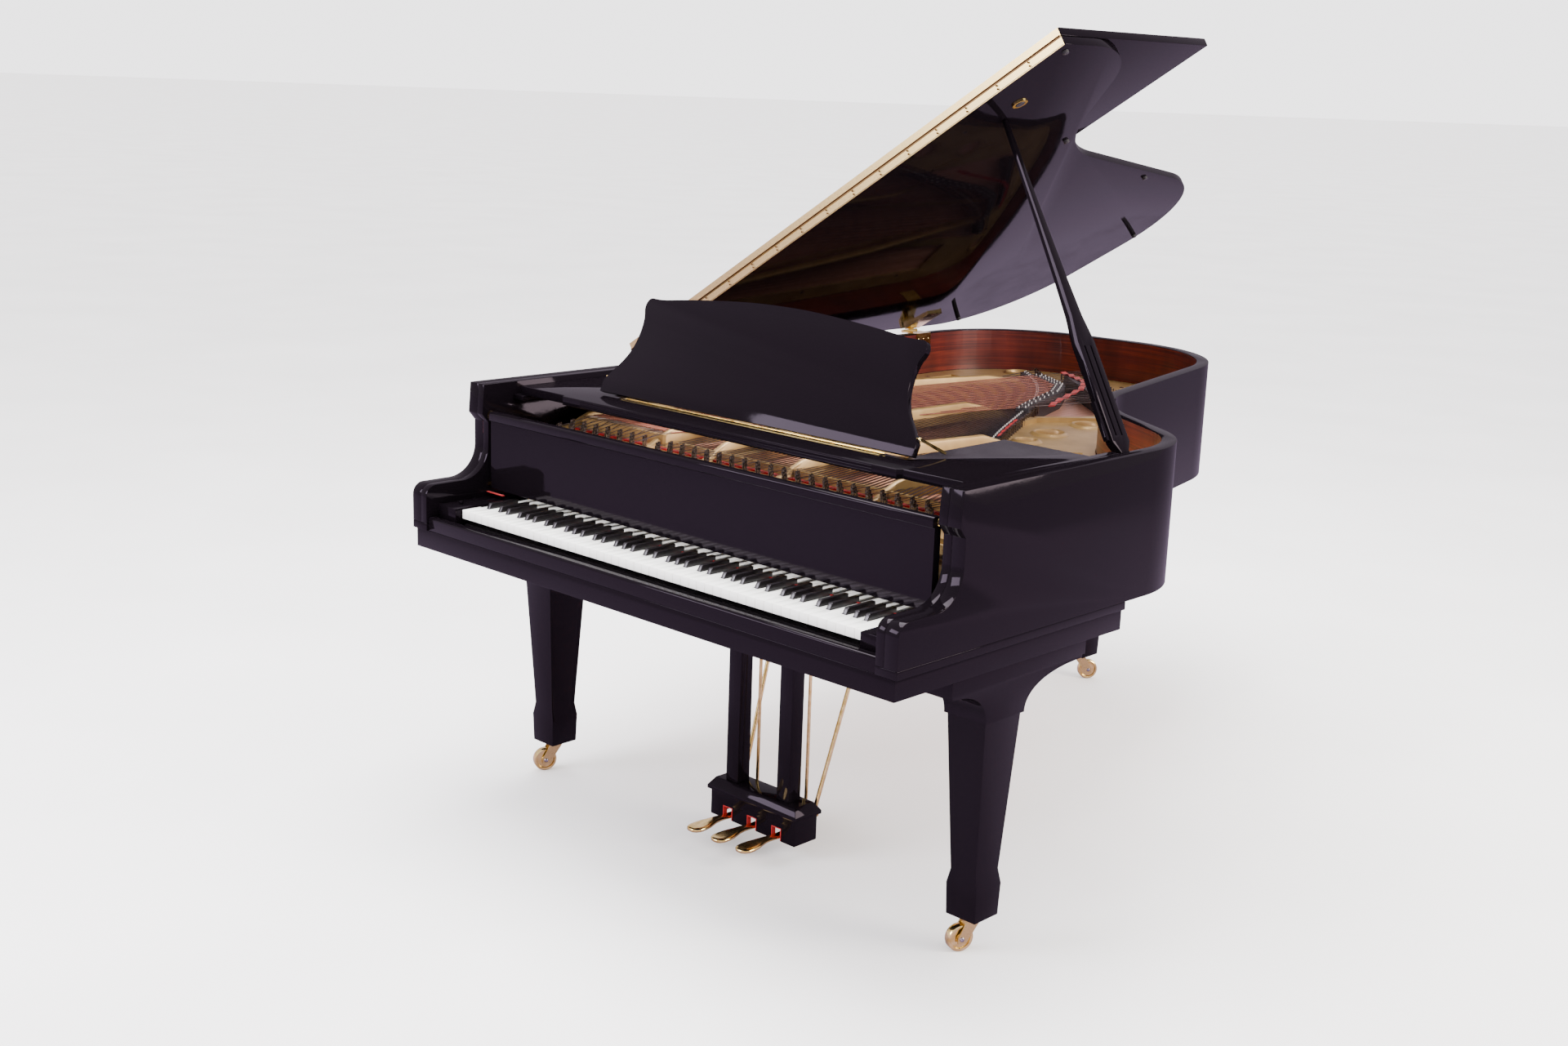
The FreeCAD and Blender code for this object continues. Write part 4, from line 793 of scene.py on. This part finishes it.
spots = []
for near, far in PLAIN:
    way = (far - near).normalized()
    for k in (-1, 1):
        spot = far - way * (BRIDGE_BACK + k * 7 * MM)
        spots.append((spot.x + k * 1.6 * MM, spot.y, far.z + 0.4 * MM))
for (near, far), stop in zip(WOUND, CROSSINGS):
    way = (far - near).normalized()
    for k in (-1, 1):
        spot = stop + way * (k * 8 * MM)
        spots.append((spot.x + k * 2.4 * MM, spot.y, far.z + 0.6 * MM))
pin_tree = scatter_tree("bright_bridge_pins", False, BRIGHT_PIN)
scatter("bridge_pins", spots, pin_tree, {"Radius": 1.6 * MM, "Height": 6 * MM}, "root")


def ribbon(shape, line, half, low, high):
    """A wall of constant width along points in plan."""
    rings = []
    for index, point in enumerate(line):
        way = heading(line, index)
        side = Vector((-way.y, way.x, 0)) * half
        rings.append([shape.verts.new((point.x + k * side.x, point.y + k * side.y, z))
                      for k, z in ((-1, low), (1, low), (1, high), (-1, high))])
    loft(shape, rings)


shape = bmesh.new()
ribbon(shape, CROSSINGS, CAP_HALF, CAP_FOOT, WOUND[0][1].z - CAP_DROP)
piece("bass_bridge_cap", shape, GRAPHITE, "root", "maple_wood", 40)

# %% [markdown]
# ## Ribs of the plate
# The pull of the strings is carried by ribs cast on the plate. They rise
# above the strings between the sections, with a rounded top, and run down
# into the web past the bridge. Each rib is one cross-section carried along
# a line with its own height at every point.

# %% Ribs
# RIB: across and share of the height. FRONT_RISE: run and height. PLATE_RIBS: the front
# end in plan, then points in plan with the height there. All lengths are in millimetres.
RIB = ((-13, 0.0), (-10.5, 0.3), (-9, 0.82), (-7, 0.95), (-3.5, 1.0), (3.5, 1.0), (7, 0.95),
       (9, 0.82), (10.5, 0.3), (13, 0.0))
FRONT_RISE = ((-48, 2), (-22, 12), (0, 25), (24, 37), (60, 45), (100, 47))
PLATE_RIBS = (
    ((-625, 352), (-465, 1400, 47), (-400, 1640, 45), (-383, 1760, 26), (-372, 1880, 3)),
    ((-338, 352), (-300, 620, 47), (-282, 760, 20), (-275, 830, 2)),
    ((-150, 352), (-148, 1040, 47), (-144, 1225, 46), (-138, 1290, 31), (-112, 1345, 12),
     (-60, 1375, 3)),
    ((84, 352), (140, 720, 47), (168, 900, 46), (178, 950, 30), (192, 1000, 13), (214, 1040, 3)),
    ((352, 352), (372, 520, 47), (384, 620, 30), (392, 680, 4)),
)
RIB_FOOT = PLATE_TOP - 0.5 * MM


def plate_rib(shape, start, *points):
    first = Vector((*start, 0)) * MM
    turn = (Vector(points[0][:2]) - Vector(start)).normalized()
    line = [first + Vector((turn.x * run, turn.y * run, 0)) * MM for run, _rise in FRONT_RISE]
    line += [Vector((x, y, 0)) * MM for x, y, _rise in points]
    rises = [rise * MM for *_place, rise in FRONT_RISE + points]
    rings = []
    for index, (spot, rise) in enumerate(zip(line, rises)):
        way = heading(line, index)
        side = Vector((way.y, -way.x, 0))
        rings.append([shape.verts.new(spot + side * across * MM
                                      + Vector((0, 0, RIB_FOOT + up * rise)))
                      for across, up in RIB])
    loft(shape, rings)


shape = bmesh.new()
for line in PLATE_RIBS:
    plate_rib(shape, *line)
piece("cast_plate_ribs", shape, GOLD_IRON, "root", "gold_iron", 35)

# %% [markdown]
# ## Red cloth among the strings
# A strip of red cloth is woven over and under the strings between the
# bridge and the hitch pins, so that the short ends stay silent.

# %% Woven strips
CLOTH_GAP, PAST_BRIDGE = 1.1 * MM, 96 * MM
CLOTH_NOTES = slice(26, 36)


def woven_strip(name, lines, back, width, thick):
    shape, rings = bmesh.new(), []
    for index, (near, far) in enumerate(lines):
        way = (far - near).normalized()
        middle_spot = far - way * back
        rise = (thick * 0.5 + CLOTH_GAP) * (1 if index % 2 else -1)
        rings.append([shape.verts.new(middle_spot + way * along + Vector((0, 0, rise + up)))
                      for along, up in ((-width, -thick / 2), (width, -thick / 2),
                                        (width, thick / 2), (-width, thick / 2))])
    loft(shape, rings)
    piece(name, shape, RED_FELT, "root", "red_felt", 50)


woven_strip("treble_string_cloth", PLAIN[CLOTH_NOTES], 30 * MM, 9 * MM, 2.2 * MM)
past = [(near, stop + (far - near).normalized() * PAST_BRIDGE)
        for (near, far), stop in zip(WOUND, CROSSINGS)]
woven_strip("bass_string_cloth", past, 0, 11 * MM, 2.6 * MM)

# %% [markdown]
# ## Holes and screws of the iron plate
# The round holes have a swelled lip that the founder adds for strength. It
# is spun as a closed ring that sits over the hole's edge. Large screws hold
# the plate down along its rim and its front bar.

# %% Lips of the plate's holes, and screws
PLATE_HOLES = ((0.293, 0.943, 0.033), (0.138, 1.112, 0.026), (0.113, 1.240, 0.036),
               (0.104, 1.414, 0.034), (-0.545, 1.985, 0.032))
LIP = ((13, -0.2), (9.5, 3.4), (6.5, 5.6), (3.5, 6.6), (1.0, 6.2), (-0.8, 4.4), (-1.0, -9.4),
       (2.0, -9.4), (13, -0.2))
PLATE_SCREWS = ((0.45, 0.80), (0.60, 0.72), (0.2, 1.33), (0.03, 1.75), (-0.66, 0.9),
                (-0.66, 1.3), (-0.66, 1.7), (0.64, 0.30), (0.3, 0.30), (0, 0.30), (-0.3, 0.30),
                (-0.64, 0.30), (-0.2, 2.02))
shape = bmesh.new()
for x, y, radius in PLATE_HOLES:
    turned(shape, [(radius + a * MM, b * MM) for a, b in LIP], Vector((x, y, PLATE_TOP)), steps=40)
weld(shape)
piece("plate_hole_lips", shape, GOLD_IRON, "root", "gold_iron", 60)

shape = bmesh.new()
for x, y in PLATE_SCREWS:
    screw(shape, Vector((x, y, PLATE_TOP + 0.3 * MM)), (0, 0, 1), 7 * MM)
piece("plate_screws", shape, PIN_STEEL, "root", "pin_steel")

# %% [markdown]
# ## Veneer inside the rim
# The rim is black outside and mahogany inside. The inner wall of the rim's
# solid is copied, cut to the band above the plate, and set a hair inside it.

# %% Rim veneer
VENEER, TOP_MARGIN, FOOT_MARGIN = 0.16 * MM, 1.6 * MM, 0.5 * MM
PROBE, ABOVE_RIM = 4 * MM, 1.2


def cut_beyond(shape, height, up):
    """Cut level at a height and drop what lies above it (up 1) or below it (up -1)."""
    whole = shape.verts[:] + shape.edges[:] + shape.faces[:]
    bmesh.ops.bisect_plane(shape, geom=whole, plane_co=(0, 0, height), plane_no=(0, 0, up),
                           clear_outer=True)


def rim_veneer():
    """Inner faces are those with the soundboard under a point just in front of them."""
    shape = bmesh.new()
    shape.from_mesh(NODES["outer_rim"].data)
    weld(shape, 0.02 * MM)
    cut_beyond(shape, corners("outer_rim")[1].z - TOP_MARGIN, 1)
    cut_beyond(shape, PLATE_TOP + FOOT_MARGIN, -1)
    board = NODES["soundboard"]
    doomed = []
    for face in shape.faces:
        probe = face.calc_center_median() + face.normal * PROBE
        hit = board.ray_cast(Vector((probe.x, probe.y, ABOVE_RIM)), Vector((0, 0, -1)))[0]
        if abs(face.normal.z) > 0.2 or not hit:
            doomed.append(face)
    bmesh.ops.delete(shape, geom=doomed, context="FACES")
    shape.normal_update()
    inner = bmesh.ops.extrude_face_region(shape, geom=shape.faces[:])["geom"]
    moved = [v for v in inner if isinstance(v, bmesh.types.BMVert)]
    for vert in moved:
        sides = [f.normal for f in vert.link_faces if abs(f.normal.z) < 0.2]
        vert.co += sum(sides, Vector()).normalized() * VENEER
    return shape


piece("rim_mahogany_veneer", rim_veneer(), MAHOGANY, "root", "mahogany_veneer", 40)

# %% [markdown]
# ## Pedals
# A pedal is a brass casting shaped like the sole of a shoe: a broad toe with
# a rolled edge, a waist, and a square tail on an axle inside the box. It is
# lofted through rounded sections, each with a slight dish on the toe.

# %% Pedals
# Along Y, half width, half depth and height above the floor, in millimetres.
PEDAL = ((229, 4, 2.4, 42.5), (231, 11, 4.2, 42.5), (236, 17, 5.4, 42.6), (246, 21.2, 6.0, 42.8),
         (260, 22, 6.0, 43.2), (274, 20.5, 5.8, 43.8), (288, 16.5, 5.6, 44.6),
         (302, 12.4, 5.4, 45.4), (318, 10, 5.2, 45.6), (334, 9.4, 5.0, 44.8),
         (350, 9.8, 5.0, 44.0), (400, 9.8, 5.0, 44.0), (449, 9.8, 5.0, 44.0))
PEDAL_X = {"soft": -78, "sostenuto": 0, "damper": 78}
PEDAL_SIDES, SQUARENESS, DISH = 20, 0.62, -1.4
HUB = ((0, -10 * MM), (8 * MM, -10 * MM), (8 * MM, 10 * MM), (0, 10 * MM))
HUB_Y, HUB_Z = 396, 44


def squared(value):
    """A sine or cosine pushed outwards, which squares a circle a little."""
    return abs(value) ** SQUARENESS * (1 if value > 0 else -1)


def pedal(name, x):
    shape, rings = bmesh.new(), []
    for y, wide, deep, height in PEDAL:
        ring = []
        for k in range(PEDAL_SIDES):
            angle = math.tau * k / PEDAL_SIDES
            c, s = math.cos(angle), math.sin(angle)
            dish = DISH * (1 - abs(squared(c)) ** 2) * (1 if s > 0.3 else 0)
            dish *= max(0, (wide - 12) / 10)
            rise = height + deep * squared(s) + dish
            ring.append(shape.verts.new(((x + wide * squared(c)) * MM, y * MM, rise * MM)))
        rings.append(ring)
    loft(shape, rings)
    turned(shape, HUB, Vector((x, HUB_Y, HUB_Z)) * MM, (1, 0, 0), 20)
    weld(shape)
    piece(f"{name}_pedal_shoe", shape, BRASS, f"{name}_pedal", "polished_brass", 50,
          f"{name}_pedal")


for name, x in PEDAL_X.items():
    pedal(name, x)

# %% [markdown]
# ## Slots of the pedal box
# Each pedal passes through a slot in the front of the box. Red felt on its
# sides and top keeps the brass from knocking, and a lining behind the slot
# closes the view into the box.

# %% Slot felts and linings
FELT_INNER, FELT_OUTER, LINING_HALF = 13.0 * MM, 14.6 * MM, 13.6 * MM
felts, linings = bmesh.new(), bmesh.new()
for x in [x * MM for x in PEDAL_X.values()]:
    for side in (-1, 1):
        inner, outer = sorted((x + side * FELT_INNER, x + side * FELT_OUTER))
        slab(felts, (inner, 0.3466, 0.0365), (outer, 0.359, 0.0655), 0.3 * MM)
    slab(felts, (x - FELT_OUTER, 0.3466, 0.0648), (x + FELT_OUTER, 0.359, 0.0664), 0.3 * MM)
    slab(linings, (x - LINING_HALF, 0.404, 0.0525), (x + LINING_HALF, 0.4075, 0.0655), 0.3 * MM)
piece("pedal_slot_felts", felts, RED_FELT, "root", "red_felt", 0)
piece("pedal_slot_linings", linings, MAHOGANY, "root", "mahogany_veneer", 0)

# %% [markdown]
# ## Red cloth behind the keys
# A strip of red cloth lies on the key rail so that the fallboard closes
# softly. Only its bass end shows past the last black key, so most of the
# strip is thin and low, and the end on the key block stands a little higher.
# A third strip lies on the front edge of the plate.

# %% Key rail cloth
low, high = corners("red_felts")
shape = bmesh.new()
slab(shape, (low.x, 0.1265, 0.7192), (high.x, 0.1310, 0.7204), 0.2 * MM)
slab(shape, (low.x, 0.1212, 0.7316), (low.x + 0.062, 0.1268, 0.7336), 0.4 * MM)
slab(shape, (-0.6136, 0.3310, 0.8681), (0.6136, 0.3420, 0.8728), 0.5 * MM)
piece("key_rail_cloth", shape, RED_FELT, "root", "red_felt", 0, "red_felts")

# %% [markdown]
# ## Casters
# The wheel is a turned brass disc with a recessed face and a raised hub.
# Its place and axis come from the joint that it rolls on.

# %% Wheels and axle caps
JOINTS = {joint["name"]: joint for joint in frame["record"]["behaviour"]["joints"]}
WHEEL = ((4.05, -10), (9, -10), (10, -7.2), (20.5, -6.6), (22, -9.4), (25.5, -10), (27.6, -9),
         (28.5, -7), (28.5, 7), (27.6, 9), (25.5, 10), (22, 9.4), (20.5, 6.6), (10, 7.2), (9, 10),
         (4.05, 10), (4.05, -10))
CAP = ((0, 3.2), (3.4, 2.6), (5.2, 1.2), (5.6, -0.6), (0, -0.6))
CAP_OUT = 14.4 * MM
for corner in ("left", "right", "rear"):
    joint = JOINTS[f"{corner}_wheel_roll"]
    hub, way = Vector(joint["pos_m"]), Vector(joint["axis"])
    shape = bmesh.new()
    turned(shape, [(a * MM, b * MM) for a, b in WHEEL], hub, way, 48)
    weld(shape)
    piece(f"{corner}_turned_wheel", shape, BRASS, f"{corner}_wheel", "polished_brass", 35,
          f"{corner}_caster_wheel")
    shape = bmesh.new()
    for side in (-1, 1):
        turned(shape, [(a * MM, b * MM) for a, b in CAP], hub + way * side * CAP_OUT,
               way * side, 20)
    piece(f"{corner}_axle_caps", shape, PIN_STEEL, f"{corner}_caster", "polished_brass")

# %% [markdown]
# ## Hinge screws and beads of the desk
# Each leaf of the rim's butt hinges has six brass screws, in two rows. The
# bar in front of the music desk has three fine beads along it.

# %% Screws of the lid hinges, and beads
LEAF_LENGTH, SCREW_ROWS = 40 * MM, (0.955, 0.972)
BEAD_HALF, BEAD_ROWS = 0.44, (0.961, 0.967, 0.973)
shape = bmesh.new()
for points in islands("rim_hinge_leaves"):
    low_y, high_y = min(p.y for p in points), max(p.y for p in points)
    inner = max(p.x for p in points)
    if high_y - low_y < LEAF_LENGTH:
        continue
    for share in (0.16, 0.5, 0.84):
        for height in SCREW_ROWS:
            screw(shape, Vector((inner, low_y + (high_y - low_y) * share, height)), (1, 0, 0),
                  2.6 * MM)
piece("rim_hinge_screws", shape, BRASS, "root", "polished_brass")

shape = bmesh.new()
bead_y = corners("desk_base")[0].y + 0.2 * MM
for height in BEAD_ROWS:
    tube(shape, ((-BEAD_HALF, bead_y, height), (BEAD_HALF, bead_y, height)), 1.5 * MM, 10)
piece("desk_bar_beads", shape, LACQUER, "desk", "black_lacquer", 60)

# %% [markdown]
# ## The lid's hinge, buttons and cup
# The long hinge between the flap and the main lid shows a line of knuckles, with a row of small
# screws; the knuckles, the leaf edges and the screws are brass painted dark, as painted shade
# along the hinge. Rubber buttons keep the closed lid off the rim, and a black disc of the rubber
# finish is painted shade standing for the hollow of the cup that takes the tip of the prop. All of
# them are placed in the lid's own frame: along it, over Y, and square to it.

# %% Hinge line and buttons
LID_TURN = math.radians(31.7)
LID_AXIS_X, LID_AXIS_Z = -758.5, 990
HINGE_FROM, HINGE_TO, HINGE_FACE = 17, 1500, 629.9
BUTTONS = ((1479, 662), (1122, 1112), (934, 1694), (574, 2132), (53, 1898), (38, 1281))
BUTTON = ((0, -3.5), (5.6, -3.5), (6.8, -2.4), (7, 3), (0, 3))
CUP_SHADE_AT, CUP_SHADE_DISC = (1282, 745), ((0, -3.4), (9.5, -3.4), (10.5, -2.2), (10.5, 0), (0, 0))


def on_lid(along, y, square):
    """A place on the open lid, in millimetres from its hinge axis."""
    c, s = math.cos(LID_TURN), math.sin(LID_TURN)
    return Vector((LID_AXIS_X + along * c - square * s, y,
                   LID_AXIS_Z + along * s + square * c)) * MM


DOWN = Vector((math.sin(LID_TURN), 0, -math.cos(LID_TURN)))
# Brass painted dark brown: painted shade for the knuckles, the leaf edges and the screws, while
# the leaves themselves stay bright satin brass.
knuckle_shade_brass = make_metal("brass_painted_dark_as_hinge_shade", "#6b4a22", "#3c2613", 0.45, 400.0)
shape = bmesh.new()
tube(shape, (on_lid(HINGE_FROM, 629.8, 23.9), on_lid(HINGE_TO, 629.8, 23.9)), 1.3 * MM, 8)
piece("lid_knuckle_line", shape, knuckle_shade_brass, "lid", "polished_brass", 60)
shape = bmesh.new()
for square in (3.9, 22.2):
    ends = [on_lid(along, HINGE_FACE, square) for along in (HINGE_FROM, HINGE_TO)]
    tube(shape, ends, 0.5 * MM, 6)
for along in range(60, HINGE_TO, 90):
    for square in (9, 17):
        screw(shape, on_lid(along, HINGE_FACE, square), (0, -1, 0), 2.0 * MM)
piece("lid_leaf_edges", shape, knuckle_shade_brass, "lid", "polished_brass", 60)

shape = bmesh.new()
for along, y in BUTTONS:
    turned(shape, [(a * MM, b * MM) for a, b in BUTTON], on_lid(along, y, 0), -DOWN, 20)
# A flat black disc is painted shade for the hollow of the prop's cup; it takes the rubber finish
# but is no button.
turned(shape, [(a * MM, b * MM) for a, b in CUP_SHADE_DISC], on_lid(*CUP_SHADE_AT, 0), -DOWN, 28)
piece("lid_rubber_buttons_and_cup_shade", shape, RUBBER, "lid", "black_rubber", 50, "lid_bumpers")

# %% [markdown]
# ## Camera
# The camera stands to the treble side of the keyboard, a little above the
# lid's lower edge, and looks down slightly. Its turn is built from three
# angles, so that each can be read and changed by itself.

# %% Camera
FOCAL_MM, FILM_MM = 42.106, 36.0
CAMERA_AT = (2.7246, -2.4369, 1.6872)
YAW, PITCH, ROLL = (math.radians(angle) for angle in (43.6401, -13.4605, 1.9811))
level = Vector((math.cos(YAW), math.sin(YAW), 0))
ahead = Vector((-math.sin(YAW) * math.cos(PITCH), math.cos(YAW) * math.cos(PITCH),
                math.sin(PITCH)))
above = level.cross(ahead)
right = level * math.cos(ROLL) + above * math.sin(ROLL)
upward = above * math.cos(ROLL) - level * math.sin(ROLL)
lens = bpy.data.cameras.new("studio_camera")
lens.lens, lens.sensor_width = FOCAL_MM, FILM_MM
lens.clip_end = 200
camera = put("studio_camera", lens)
turn = Matrix((right, upward, -ahead)).transposed().to_4x4()
camera.matrix_world = Matrix.Translation(CAMERA_AT) @ turn
bpy.context.scene.camera = camera
print("camera:", FOCAL_MM, "mm at", CAMERA_AT)

# %% [markdown]
# ## Floor and light
# The floor is pale and plain, and the room is a pale wall of light. A black
# piano needs large soft sources: one from above, one on each side. Mirrors
# of lacquer would turn grey in such a room, so a studio hangs darker cloth
# where they look. A Light Path node does the same: reflected rays see a
# darker floor and a darker room.

# %% Floor and lights
FLOOR_SIZE = 400
ROOM_STRENGTH, FLAG_STRENGTH = 3.4, 1.5


def make_floor():
    material, shader, place = new_material("matt_studio_floor")
    cloud = noise(material, place, 1.2, 3.0)
    set_shader(shader, Base_Color=ramp(material, cloud, (0.3, "#ecebea"), (0.7, "#f3f2f1")),
               Roughness=0.9, Specular_IOR_Level=0.1)
    flagged = add_node(material, "ShaderNodeBsdfDiffuse", Color=linear("#93829a"))
    ray = add_node(material, "ShaderNodeLightPath")
    mixed_surface(material, ray.outputs["Is Glossy Ray"], shader, flagged)
    shape = bmesh.new()
    bmesh.ops.create_grid(shape, x_segments=2, y_segments=2, size=FLOOR_SIZE)
    mesh = mesh_from("studio_floor", shape)
    mesh.materials.append(material)
    floor = put("studio_floor", mesh)


def make_room():
    world = bpy.data.worlds.new("studio_room")
    world.use_nodes = True
    nodes = world.node_tree.nodes
    room, flags = nodes["Background"], nodes.new("ShaderNodeBackground")
    for node, colour, strength in ((room, "#f6f4f6", ROOM_STRENGTH),
                                   (flags, "#d6c8d8", FLAG_STRENGTH)):
        plug(node.inputs["Color"], linear(colour))
        plug(node.inputs["Strength"], strength)
    both = nodes.new("ShaderNodeMixShader")
    plug(both.inputs[0], nodes.new("ShaderNodeLightPath").outputs["Is Glossy Ray"])
    plug(both.inputs[1], room.outputs[0])
    plug(both.inputs[2], flags.outputs[0])
    plug(nodes["World Output"].inputs["Surface"], both.outputs[0])
    bpy.context.scene.world = world


def soft_light(name, place, target, size, power, colour="#ffffff"):
    light = bpy.data.lights.new(name, "AREA")
    light.shape, light.size, light.size_y = "RECTANGLE", *size
    light.energy, light.color = power, linear(colour)[:3]
    thing = put(name, light)
    way = (Vector(target) - Vector(place)).to_track_quat("-Z", "Y")
    thing.matrix_world = Matrix.Translation(place) @ way.to_matrix().to_4x4()
    print(name, power, "W")


make_floor()
make_room()
soft_light("overhead_bank", (-0.5, 0.6, 4.6), (0, 0.8, 0.8), (3.4, 2.4), 480)
soft_light("treble_bank", (4.6, 2.6, 2.6), (0.2, 1.0, 0.8), (2.2, 2.8), 330, "#fff6ee")
soft_light("front_bank", (-2.2, -3.8, 2.6), (0, 0, 0.7), (2.6, 1.8), 260, "#f6f2ff")
